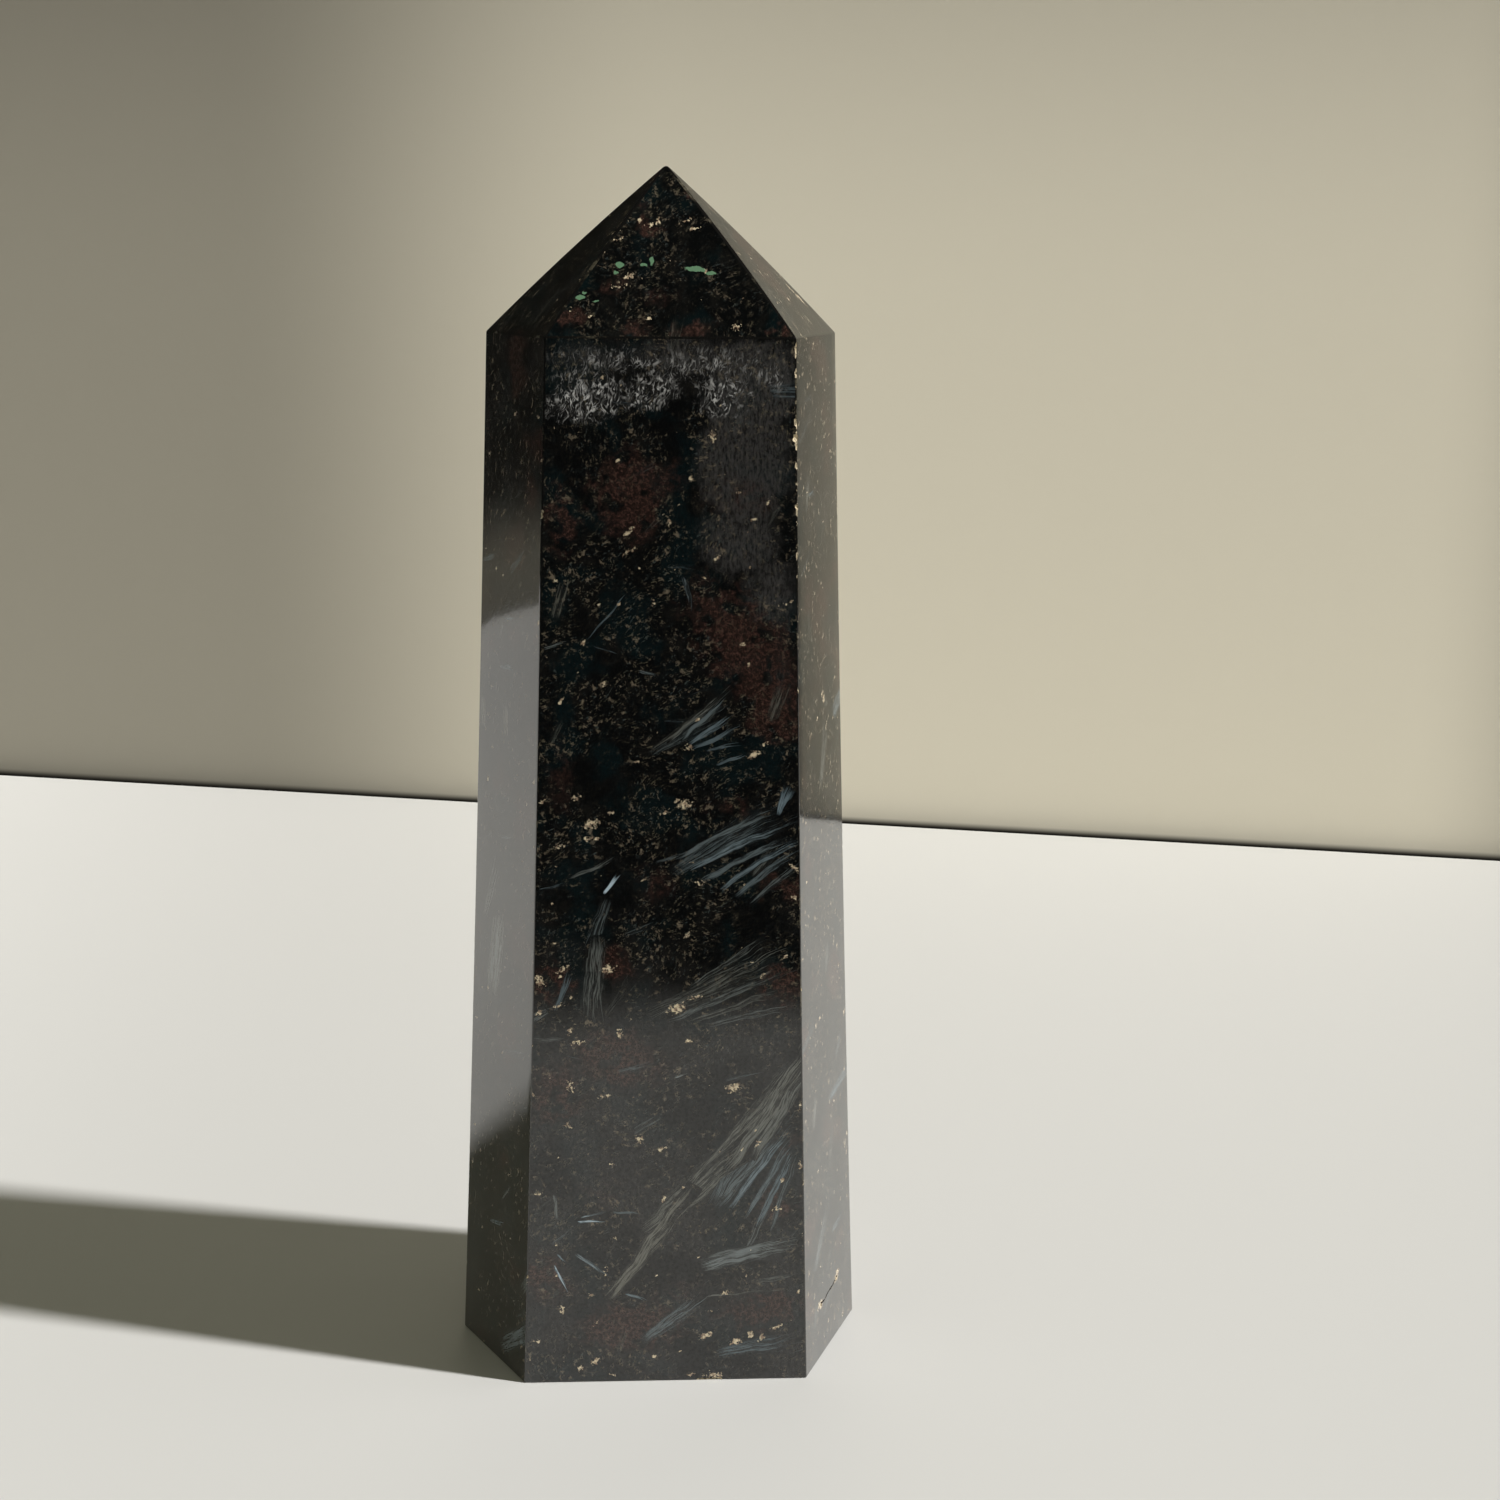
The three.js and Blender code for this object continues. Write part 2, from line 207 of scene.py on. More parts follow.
# Cream and tan flecks, written in the same way.
PALE_FLECKS = (
    (-4, 115.5, 1.4, 0.4, 35, 0.9), (1, 117, 0.4, 1.2, 0, 0.7), (6.5, 127.5, 0.7, 1, 0, 0.9),
    (10, 120.5, 0.8, 0.3, 25, 0.7), (7, 112, 0.8, 0.4, 60, 0.9), (5.5, 109.5, 0.5, 0.3, 0, 0.8),
    (10.5, 101, 0.7, 0.3, 45, 0.8), (-1, 106.5, 0.3, 1, 0, 0.6), (-4, 113, 1.6, 0.4, 30, 0.7),
    (16.5, 106.5, 1.2, 0.3, 25, 0.7), (3.5, 87.5, 1, 0.5, 0, 0.9), (12, 86.5, 1.5, 0.5, 22, 1),
    (13.5, 88, 0.8, 0.3, 20, 0.8), (3, 80, 1.5, 0.8, 15, 1), (0.5, 79, 0.9, 0.5, 10, 0.7),
    (-9, 77.5, 1.5, 0.9, 25, 0.9), (-11, 81, 1.2, 0.4, 25, 0.8), (-6.5, 79, 1, 0.4, 20, 0.7),
    (-9.5, 75.5, 1, 0.4, 10, 0.9), (-13.5, 74.5, 1.2, 0.4, 10, 0.7), (5, 69.5, 0.9, 0.5, 0, 0.6),
    (17.5, 71.5, 0.5, 1.2, 60, 0.8), (17.5, 67.5, 0.5, 0.5, 0, 1), (-16, 56.5, 0.8, 1.4, 30, 0.9),
    (-13, 58, 1.4, 0.4, 30, 0.9), (-16, 52, 0.6, 0.9, 10, 0.8), (-13.5, 53, 0.8, 0.4, 20, 0.8),
    (-11, 48, 1.3, 0.4, 5, 1), (-5.5, 49, 0.5, 1, 0, 1.1), (-7, 58, 1.4, 0.8, 20, 0.9),
    (2, 52.5, 1.8, 1, 10, 1), (4.5, 54, 1.5, 0.5, 10, 0.8), (3.5, 48, 0.9, 0.4, 10, 1),
    (-12, 42, 0.7, 1.4, 10, 0.8), (-7.5, 40.5, 1.6, 0.3, 5, 0.7), (9.5, 41.5, 1.6, 0.8, 10, 1.1),
    (-3, 34.5, 0.8, 0.7, 0, 1), (0, 33, 0.9, 0.5, 20, 1.1), (13, 34, 0.6, 0.3, 45, 0.8),
    (-6.5, 20.5, 0.9, 0.4, -10, 0.6), (-7.5, 16, 0.5, 0.9, -20, 0.6),
    (15.5, 24.5, 0.9, 0.6, 0, 0.7), (18.5, 30.5, 0.4, 0.9, 0, 0.9), (18.5, 39, 0.4, 0.8, 0, 0.7),
    (6, 6.5, 1.5, 0.5, 20, 1.1), (10, 5.5, 1.2, 0.6, 20, 1.1), (12, 6.5, 0.8, 0.5, 60, 1.1),
    (15.5, 7.5, 1.4, 0.4, 15, 1), (-1, 3.5, 0.5, 0.6, 0, 1.1), (-9, 3, 0.9, 0.6, 20, 1.1),
    (-11, 2, 0.8, 0.5, 30, 0.9), (-17, 6, 0.8, 0.4, 0, 0.8), (6.5, 10, 1.2, 0.3, 10, 0.6),
    (7, 0.7, 2.2, 0.4, 3, 1.1), (4, 0.8, 1, 0.3, 0, 0.9), (-6.5, 1, 0.7, 0.3, 0, 0.8),
    (13.5, 6, 1, 0.4, 60, 1), (8.5, 12.5, 0.9, 0.4, 15, 0.9), (-9, 8.5, 0.8, 0.3, 50, 0.8),
    (-13.5, 10.5, 0.6, 0.9, 20, 0.7), (-9.5, 12.5, 0.7, 0.4, 30, 0.8),
    (-16.5, 27, 0.7, 0.5, 0, 0.7), (-12.5, 36.5, 0.9, 0.5, 10, 0.7), (-6.5, 31, 0.6, 0.6, 0, 0.6),
    (5, 21.5, 0.8, 0.4, 20, 0.5),
)
# The felted pale band under the shoulder.
FELT_PATCHES = (
    (-9, 132, 6.5, 3.5, 10, 1.3), (-10, 134.5, 5, 2.5, 0, 0.5), (-1.5, 133, 5, 3, 14, 1.2),
    (8, 132.5, 4.5, 3.5, 0, 0.9), (-5, 137, 12, 2, 0, 0.5), (6, 136.5, 12, 3, 0, 0.45),
    (13.5, 135, 3.5, 2.5, -30, 0.5),
)
# The slaty haze over the top of the side.
HAZE_PATCHES = (
    (-9, 137.5, 9, 3.5, 0, 0.4), (3, 137.5, 9, 3.5, 0, 0.7), (12, 134, 8, 7, 0, 1.3),
    (10.5, 124, 7.5, 10.5, 0, 1.3), (10, 114, 7, 6, 0, 0.9), (14, 107.5, 5, 6.5, 0, 0.7),
    (15.5, 96, 3, 6, 0, 0.4),
)
# Patches of clean black amphibole.
DARK_PATCHES = (
    (2, 127, 1.8, 12, 0, 1.2), (0.5, 130, 3, 2.5, 0, 1), (-0.5, 129.5, 3, 1.5, 35, 0.7),
    (-12, 122.5, 2.5, 3, 0, 0.6), (-8.5, 84.5, 9.5, 4.5, 0, 0.5), (-12.5, 67, 4, 3, 0, 0.9),
    (-5, 67, 3, 2, 0, 0.8), (-7.5, 53.5, 3, 4.5, 0, 0.4), (-10, 19.5, 4, 3, 0, 0.4),
)
# Mint green patches, pale flecks and reddish clouds on the front facet of the tip.
TIP_GREENS = (
    (-5, 148.5, 0.6, 0.5, 0, 1), (-5.5, 147.5, 0.5, 0.3, 0, 0.7), (-2, 148.5, 0.6, 0.3, -10, 0.9),
    (-1, 149, 0.3, 0.7, 0, 1), (4.5, 148, 1.6, 0.4, -3, 1.3), (6.5, 147.5, 0.8, 0.3, 0, 1),
    (-10, 144.5, 0.8, 0.3, 5, 0.9), (-8, 144, 0.6, 0.2, 5, 0.8), (-9.5, 145, 0.4, 0.2, 0, 0.7),
)
TIP_FLECKS = (
    (0, 154, 0.4, 0.5, 0, 1), (-1, 153.5, 1.1, 0.4, 0, 0.6), (4.5, 153, 0.8, 0.4, 0, 1),
    (-2.5, 154, 0.8, 0.3, 20, 0.7), (-5.5, 151.5, 1.5, 0.4, 20, 0.7),
    (-8.5, 148.5, 1.5, 0.4, 55, 0.7), (-4, 147, 0.9, 0.5, 20, 0.9), (-5.5, 152.5, 0.9, 0.3, 0, 0.7),
    (-1.5, 142, 0.7, 0.4, 0, 0.7), (3.5, 154, 1.6, 0.3, 10, 0.6), (-5, 146, 1.6, 0.5, 0, 0.5),
    (9.5, 141, 0.9, 0.5, 0, 0.7), (-11, 143, 0.8, 0.4, 0, 0.5),
)
TIP_CLOUDS = (
    (-1.5, 153, 1.6, 1.4, 0, 0.9), (-2.5, 155.5, 2, 1.3, 0, 0.5), (-6, 146, 3, 1.4, 0, 0.6),
    (-11.5, 141.5, 3.2, 2.2, 0, 1), (-3.5, 141, 2.6, 2, 0, 0.9), (4, 141, 4, 1.4, 0, 0.8),
    (14.5, 140.5, 2.4, 1.4, 0, 1), (0, 144.5, 4.5, 1.6, 0, 0.4), (3.5, 157.5, 1.3, 1, 0, 0.6),
)
# Marks on the right front side: the bruised ends of the fissure, and a painted highlight on the tip, a
# thin pale streak where the facet catches the light.
RIGHT_FLECKS_AND_HIGHLIGHT = (
    (4.3, 8.6, 1.6, 0.9, 30, 1.4), (-3.7, 7.6, 1.7, 0.9, 0, 1.4), (5.6, 144.5, 2.2, 0.4, -70, 1.1),
    (2, 92, 0.5, 1.2, 0, 1), (3, 88, 0.4, 1, 0, 0.8),
)
SIDE_FLECKS = {"right front": RIGHT_FLECKS_AND_HIGHLIGHT}
# How strongly pale crumbs show on the sides next to the front, and on the others.
SIDE_CRUMBS = {"right front": 0.6, "left front": 0.3}
OTHER_CRUMBS = 0.5
# Sheaves scattered at random: size of a cell and shift in mm, share of the cells filled, strength.
FRONT_SCATTER = ((17.0, 0.0, 0.15, 0.5), (7.0, 33.0, 0.25, 0.45))
SIDE_SCATTER = ((17.0, 0.0, 0.8, 0.85), (7.0, 33.0, 0.5, 0.65))
# How many millimetres the fibres of a sheaf stand apart.
FIBRE_PITCH = 0.22
# The layers of the felted band: length of the strands in mm, and their width as a level of noise.
FELT_LAYERS = ((2.6, 0.045), (1.9, 0.055), (1.3, 0.07))
# Heights on the front side, from where a change begins to where it is full: the grains stand
# upright, the ground opens up, the low haze and the high one fill in, and the tip takes over.
UPRIGHT_FROM = (112.0, 128.0)
OPEN_FROM = (30.0, 62.0)
LOW_HAZE_TO = (75.0, 45.0)
HAZE_TO = (139.9, 139.5)
TIP_FROM = (139.5, 140.5)
# Where the edge to the right of the front is frayed, written in the same way.
FRAYED_FROM, FRAYED_TO = (88.0, 108.0), (139.0, 136.0)
FRAYED_ACROSS, FRAYED_DEPTH = (10.0, 14.0), (-11.0, -14.0)
# Patterns of noise: how far each is shifted across and up, so that like ones don't fall on each
# other, its scale per millimetre, octaves and roughness, and the levels between which it shows.
PATTERNS = {
    "soot": (0, 0, 0.25, 5.0, 0.65, 0.45, 0.75),
    "teal cast": (8, 3, 0.14, 3.0, 0.5, 0.48, 0.66),
    "haze threads": (0, 0, 1.0, 5.0, 0.75, 0.26, 0.68),
    "low haze": (12, 44, 0.08, 4.0, 0.6, 0.4, 0.62),
    "side haze": (12, 44, 0.1, 4.0, 0.6, 0.42, 0.7),
    "grain clusters": (31, 7, 0.15, 5.0, 0.66, 0.36, 0.6),
    "grain patches": (90, 60, 0.9, 3.0, 0.6, 0.38, 0.58),
    "warm grains": (3, 51, 0.6, 3.0, 0.5, 0.4, 0.6),
    "ground crumbs": (11, 23, 1.1, 5.0, 0.75, 0.55, 0.63),
    "side garnet": (9, 90, 0.09, 2.0, 0.5, 0.54, 0.8),
    "crumb drifts": (77, 7, 0.13, 3.0, 0.5, 0.3, 0.56),
    "cream crumbs": (3, 8, 0.9, 3.0, 0.5, 0.4, 0.62),
    "cream": (5, 70, 1.9, 3.0, 0.5, 0.36, 0.6),
    "bright felt": (4, 80, 0.7, 3.0, 0.5, 0.4, 0.62),
    "rubbed": (0, 0, 0.3, 4.0, 0.7, 0.54, 0.7),
    "cream on edges": (0, 0, 1.3, 3.0, 0.6, 0.66, 0.74),
    "crumbled": (0, 0, 0.7, 5.0, 0.75, 0.54, 0.64),
    "fissure dust": (0, 0, 4.0, 3.0, 0.6, 0.52, 0.7),
}
# What the sheaves laid so far leave at a place, and what each new one is given.
LAID = ("Best", "Across", "Along", "Share", "Hue")
SHEAF = ("Root", "Sway", "Fibres", "Length", "Strength", "Olive")
# A gradient texture stays between 0 and 1, so a sheaf's own length fills the middle half of one,
# and the other crosses it from this many half widths on one side to as many on the other.
CROSSING = 6.0
# The studio, in metres. The floor's colour has painted shade along its front edge and painted brighter
# light far to the left, where only the stone mirrors it, and it stops just short of the backdrop.
FLOOR_HALF_WIDTH = 0.9
FLOOR_FRONT = -0.235
FLOOR_LIT_FROM = -0.175
FLOOR_BRIGHT_LEFT = (-0.05, -0.25)
FLOOR_BRIGHT, FLOOR_SHADE = 1.25, 0.04
FLOOR_GAP = 0.005
BACKDROP_FOOT = Vector((0.057, 0.292, 0))
BACKDROP_TURN = math.radians(-14.7)
BACKDROP_ENDS = (-0.9, 0.7)
BACKDROP_BOTTOM, BACKDROP_TOP = -0.03, 0.5
# Below this crease, at the floor, the backdrop is painted dark: painted shade in the gap.
BACKDROP_CREASE = (-0.001, 0.001)
# The backdrop glows though it is no lamp: the share of its colour that its painted shade keeps, and the
# strength of its glow.
BACKDROP_SHADE, BACKDROP_GLOW = 0.02, 0.55
# Where the painted light on the backdrop has faded away and where it is full: up, to the left and to the
# right, measured from above the stone. Its left part has painted shade: it is dimmer, and dark higher up,
# where only the tip mirrors it.
LIGHT_UP = (0.4, 0.13)
LIGHT_LEFT = (-0.45, -0.3)
LIGHT_RIGHT = (0.27, 0.19)
DIMMER_LEFT = (0.01, -0.11)
DIMMER = 0.58
DARK_LEFT = (0.0, -0.1)
DARK_UP = (0.22, 0.3)
# A second, low patch of painted light on the backdrop, far out to the left where only the stone mirrors
# it.
FAR_LIGHT_LEFT = (-0.5, -0.6)
FAR_LIGHT_UP = (0.06, 0.02)
FAR_LIGHT = 0.35
# The lamps: colour, strength, spread, the direction and height that each shines from in degrees,
# and whether the polish mirrors it. The key light is halfway up, to the right and a little in front.
LAMPS = {
    "key": ((1, 0.97, 0.92), 4.2, 3, -16, 44, True),
    "fill": ((1, 0.98, 0.66), 0.43, 120, 250, 75, False),
}
# The even light from all around the studio, and how much brighter it looks to the camera.
AROUND_LIGHT, AROUND_SEEN = 0.02, 0.13
# Where the photograph was taken from, in millimetres, and the way it looks.
CAMERA_PLACE = Vector((-4.4, -319.5, 154.0))
CAMERA_RIGHT = Vector((0.998679, -0.050944, 0.006765))
CAMERA_UP = Vector((0.004371, 0.215359, 0.976525))
CAMERA_LENS, CAMERA_SENSOR = 57.6, 36.0


def length_setting(name, description, millimetres):
    """A length to choose in the panel, with its default in millimetres."""
    return bpy.props.FloatProperty(
        name=name, description=description, default=millimetres * MM, unit="LENGTH",
    )


def colour_setting(name, description, colour):
    """A colour to choose in the panel."""
    return bpy.props.FloatVectorProperty(
        name=name, description=description, default=colour, subtype="COLOR", min=0.0, max=1.0,
    )


class StoneSettings(bpy.types.PropertyGroup):
    """Sizes and colours of the stone and its studio"""

    shoulder: length_setting("Shoulder height", "Where the sides end and the tip begins", 139.7)
    tip: bpy.props.FloatVectorProperty(
        name="Tip", description="The point before its edges are eased",
        default=(1.0 * MM, 0.2 * MM, 161.09 * MM), subtype="XYZ",
    )
    arris: length_setting("Arris", "How far each edge is eased back", 0.16)
    waist: length_setting("Waist", "How far the sides are hollow halfway up", 0.2)
    crown: length_setting("Crown", "How far the middle of each side is full", 0.02)
    tip_crown: length_setting("Tip crown", "How far the tip facets are full halfway up", 0.35)
    black: colour_setting("Black", "The clean amphibole", (0.0015, 0.0018, 0.0018))
    sooty: colour_setting("Sooty", "The duller amphibole between the grains", (0.0065, 0.0062, 0.0054))
    teal: colour_setting("Teal", "The blue-green cast in the black", (0.0018, 0.0062, 0.0072))
    grey_grain: colour_setting("Grey grain", "Small cool grains", (0.055, 0.07, 0.07))
    olive_grain: colour_setting("Olive grain", "Small warm grains", (0.14, 0.125, 0.085))
    haze: colour_setting("Haze", "The slaty haze, thickest at the top", (0.056, 0.054, 0.054))
    crumb: colour_setting("Crumb", "Small dull crumbs of feldspar", (0.2, 0.165, 0.12))
    garnet_dark: colour_setting("Dark garnet", "The deep part of the clouds", (0.024, 0.012, 0.009))
    garnet_light: colour_setting("Light garnet", "The bright part of the clouds", (0.1, 0.05, 0.04))
    blue_fibre: colour_setting("Blue fibre", "Sheaves of blue amphibole", (0.1, 0.14, 0.165))
    olive_fibre: colour_setting("Olive fibre", "Sheaves of weathered amphibole", (0.15, 0.145, 0.12))
    # Partly painted sheen: the flash of light off the brightest needles is laid into this colour.
    silver_fibre_and_sheen: colour_setting("Silver fibre", "The brightest needles", (0.5, 0.62, 0.72))
    felt: colour_setting("Felt", "Pale curled fibres under the shoulder", (0.62, 0.62, 0.62))
    tan_fleck: colour_setting("Tan fleck", "The dull part of the flecks", (0.27, 0.19, 0.13))
    cream_fleck: colour_setting("Cream fleck", "The bright part of the flecks", (0.75, 0.64, 0.45))
    mint: colour_setting("Mint", "The green patches on the tip", (0.13, 0.25, 0.15))
    floor: colour_setting("Floor", "The pale floor", (0.66, 0.667, 0.675))
    backdrop: colour_setting("Backdrop", "The pale backdrop behind the stone", (0.585, 0.543, 0.435))


def settings():
    """The sizes and colours chosen in the panel."""
    return bpy.context.scene.arfvedsonite


def side_plane(side, height=0.0):
    """The way a side looks and how far from the middle it stands at a height, in metres."""
    looks, reach, lean = SIDES[side]
    return math.radians(looks), reach * MM - height * math.tan(math.radians(lean))


def corner(side, following, height):
    """Where two neighbouring sides meet at a height."""
    a, reach_a = side_plane(side, height)
    b, reach_b = side_plane(following, height)
    across = math.sin(b - a)
    x = (reach_a * math.sin(b) - reach_b * math.sin(a)) / across
    y = (reach_b * math.cos(a) - reach_a * math.cos(b)) / across
    return Vector((x, y, height))


def side_ends(side, height):
    """The left and right corners of a side at a height."""
    i = SIDE_NAMES.index(side)
    left, right = SIDE_NAMES[i - 1], SIDE_NAMES[(i + 1) % len(SIDES)]
    return corner(left, side, height), corner(side, right, height)


def corners(height):
    """The six corners at a height, the first between the front and right front sides."""
    return [side_ends(side, height)[1] for side in SIDE_NAMES]


def outward(side):
    """The level direction a side looks in, and the direction that runs along it to the right."""
    angle = math.radians(SIDES[side][0])
    return Vector((math.cos(angle), math.sin(angle), 0)), Vector((-math.sin(angle), math.cos(angle), 0))


def nearest_side(face):
    """The slot of the side that looks the same way as a face."""
    return max(range(len(SIDES)), key=lambda i: face.normal.dot(outward(SIDE_NAMES[i])[0]))


def side_beside(face):
    """The slot of the side whose plane a chip's face lies nearest to, whatever way the face looks."""
    middle = face.calc_center_median()
    return max(
        range(len(SIDES)),
        key=lambda i: middle.dot(outward(SIDE_NAMES[i])[0]) - side_plane(SIDE_NAMES[i], middle.z)[1],
    )


def raise_top(bm):
    """Extrudes the topmost face on the spot and returns its new corners."""
    top = max(bm.faces, key=lambda face: face.calc_center_median().z)
    risen = bmesh.ops.extrude_face_region(bm, geom=[top])
    return [item for item in risen["geom"] if isinstance(item, bmesh.types.BMVert)]


def saw_blank(bm):
    """The sawn blank: the base outline drawn up to the shoulder and on to the tip."""
    size = settings()
    bm.faces.new([bm.verts.new(place) for place in corners(0)])
    shoulder = corners(size.shoulder)
    for vert in raise_top(bm):
        vert.co = min(shoulder, key=lambda place: (place.xy - vert.co.xy).length)
    bmesh.ops.pointmerge(bm, verts=raise_top(bm), merge_co=size.tip)
    sunk = [f for f in bm.faces if len(f.verts) == len(SIDES) and f.calc_center_median().z > MM]
    bmesh.ops.delete(bm, geom=sunk, context="FACES_ONLY")
    bmesh.ops.recalc_face_normals(bm, faces=bm.faces)
    for face in bm.faces:
        face.material_index = BASE_SLOT if face.normal.z < DOWNWARDS else nearest_side(face)


def ease_edges(bm):
    """Every edge eased to a narrow rounded arris."""
    eased = bmesh.ops.bevel(
        bm, geom=bm.edges[:], offset=settings().arris, offset_type="OFFSET",
        segments=ARRIS_SEGMENTS, profile=0.5, affect="EDGES", clamp_overlap=True, material=-1,
    )
    for face in eased["faces"]:
        face.material_index = ARRIS_SLOT


def cut_lines(bm):
    """Rows and columns of cuts, so that the sides can be ground a little hollow or full."""
    size = settings()
    rows = [size.shoulder * i / SIDE_ROWS for i in range(1, SIDE_ROWS)]
    rows += [size.shoulder + (size.tip[2] - size.shoulder) * i / TIP_ROWS for i in range(1, TIP_ROWS)]
    for height in rows:
        geom = bm.verts[:] + bm.edges[:] + bm.faces[:]
        bmesh.ops.bisect_plane(bm, geom=geom, plane_co=(0, 0, height), plane_no=(0, 0, 1))
    for slot, side in enumerate(SIDE_NAMES):
        along = outward(side)[1]
        for column in COLUMNS:
            faces = [face for face in bm.faces if face.material_index == slot]
            rims = dict.fromkeys(part for face in faces for part in (*face.edges, *face.verts))
            geom = faces + list(rims)
            bmesh.ops.bisect_plane(bm, geom=geom, plane_co=along * column * MM, plane_no=along)


def grind(bm):
    """The slight hollow up the sides, and the fullness across the sides and up the tip."""
    size = settings()
    for vert in bm.verts:
        height = vert.co.z
        level = min(height, size.shoulder)
        rise = min(max((height - size.shoulder) / (size.tip[2] - size.shoulder), 0), 1)
        found = []
        for side in SIDE_NAMES:
            looks, along = outward(side)
            left, right = (end.lerp(Vector(size.tip), rise) for end in side_ends(side, level))
            width = max((right - left).length, 1e-6)
            gap = vert.co.dot(looks) - left.dot(looks)
            found.append((gap, looks, (vert.co - left).dot(along) / width))
        looks, place = max(found, key=lambda row: row[0])[1:]
        if rise > 0:
            full = 4 * size.tip_crown * rise * (1 - rise)
            vert.co += (looks * TIP_FACET_OUT + Vector((0, 0, TIP_FACET_UP))) * full
        elif height > size.arris * 2:
            share = height / size.shoulder
            hollow = 4 * size.waist * share * (1 - share)
            bulge = 1 - (2 * min(max(place, 0), 1) - 1) ** 4
            crown = size.crown * bulge * min(1, height / (CROWN_FADE * MM))
            flat = Vector((vert.co.x, vert.co.y, 0)).normalized()
            vert.co += looks * crown - flat * hollow


def mark_zones(bm):
    """Gives each height zone of the front side its own material slot."""
    tops = [settings().shoulder * row / SIDE_ROWS for row in ZONE_ROWS]
    for face in bm.faces:
        zone = sum(face.calc_center_median().z > top for top in tops)
        if face.material_index == 0 and zone > 0:
            face.material_index = FIRST_ZONE_SLOT + zone - 1


def lump(bm, centre, along, out, sizes, rough, seed, slot=0):
    """One rough lump of broken-out stone: its sizes run along the edge, outwards and across."""
    made = bmesh.ops.create_icosphere(bm, subdivisions=3, radius=1.0)
    turn = Matrix((along, out, along.cross(out))).transposed()
    shift = Vector((seed * 3.1, seed * 1.7, seed * 0.9))
    for vert in made["verts"]:
        coarse = noise.noise(vert.co * LUMP_COARSE + shift)
        fine = noise.noise(vert.co * LUMP_FINE + shift)
        swell = 1 + rough * coarse + rough * LUMP_FINE_SHARE * fine
        vert.co = centre + turn @ Vector([c * s * swell for c, s in zip(vert.co, sizes)])
        for face in vert.link_faces:
            face.material_index = slot


def lump_edge_chips(bm):
    """The chips along the six upright edges: the measured ones, and a few small ones on each."""
    height = settings().shoulder
    rng = random.Random(CHIP_SEED)
    for i, side in enumerate(SIDE_NAMES):
        following = SIDE_NAMES[(i + 1) % len(SIDES)]
        foot, head = corner(side, following, 0), corner(side, following, height)
        along = (head - foot).normalized()
        out = (outward(side)[0] + outward(following)[0]).normalized()
        measured = FRONT_EDGE_CHIPS if side == "front" else ()
        chips = [(up * MM / height, length, bite) for up, length, bite in measured]
        for _ in range(SMALL_CHIPS_PER_EDGE):
            share, length = rng.uniform(*SMALL_CHIP_PLACES), rng.uniform(*SMALL_CHIP_LENGTHS)
            chips.append((share, length, SMALL_CHIP_BITE))
        for share, length, bite in chips:
            centre = foot.lerp(head, share) + out * bite * CHIP_OUT * MM
            sizes = (length / 2 * MM, bite * CHIP_DEPTH * MM, bite * CHIP_WIDTH * MM)
            lump(bm, centre, along, out, sizes, RAGGED, rng.uniform(0, 50))


def lump_corner_chips(bm):
    """The chip on the right shoulder and the bruise on the front edge of the base."""
    shoulder = corner("right front", "right back", settings().shoulder) + SHOULDER_CHIP_SHIFT * MM
    sizes = SHOULDER_CHIP_SIZES * MM
    lump(bm, shoulder, Vector((0, 0, 1)), Vector((1, 0, 0)), sizes, SHOULDER_RAGGED, 7.0)
    looks, along = outward("front")
    bruise = looks * (SIDES["front"][1] + BRUISE_OUT) * MM + along * BRUISE_ACROSS * MM
    lump(bm, bruise, along, looks, BRUISE_SIZES * MM, RAGGED, 11.0)


def lump_fissure(bm):
    """The open fissure on the right front side, with a pit at each end."""
    looks, along = outward("right front")
    reach = side_plane("right front", FISSURE_PATH[2][1] * MM)[1]
    points = [along * u * MM + looks * reach + Vector((0, 0, z * MM)) for u, z in FISSURE_PATH]
    for n, (start, end) in enumerate(zip(points, points[1:])):
        step = end - start
        sizes = (step.length * FISSURE_OVERLAP, FISSURE_DEPTH * MM, FISSURE_GAPE * MM)
        lump(bm, (start + end) / 2, step.normalized(), looks, sizes, RAGGED, n * 5.0, 1)
    for end, radius in FISSURE_PITS:
        lump(bm, points[end], along, looks, FISSURE_PIT_SHAPE * radius * MM, RAGGED, radius * 9)


def knock_chips(stone):
    """Cuts the chips and the fissure out of the stone; the chip faces show broken rock, and the fissure
    walls are painted dark as painted shade.
    """
    bm = bmesh.new()
    lump_edge_chips(bm)
    lump_corner_chips(bm)
    lump_fissure(bm)
    mesh = bpy.data.meshes.new("chips")
    bm.to_mesh(mesh)
    bm.free()
    mesh.materials.append(stone.data.materials[BROKEN_SLOT])
    mesh.materials.append(stone.data.materials[FISSURE_SLOT])
    cutter = bpy.data.objects.new("chips", mesh)
    bpy.context.scene.collection.objects.link(cutter)
    cut = stone.modifiers.new("Chips", "BOOLEAN")
    cut.operation = "DIFFERENCE"
    cut.solver = "EXACT"
    cut.use_self = True
    cut.material_mode = "TRANSFER"
    cut.object = cutter
    bpy.context.view_layer.objects.active = stone
    bpy.ops.object.modifier_apply(modifier=cut.name)
    bpy.data.objects.remove(cutter)
    for face in stone.data.polygons:
        face.use_smooth = face.material_index not in (BROKEN_SLOT, FISSURE_SLOT)


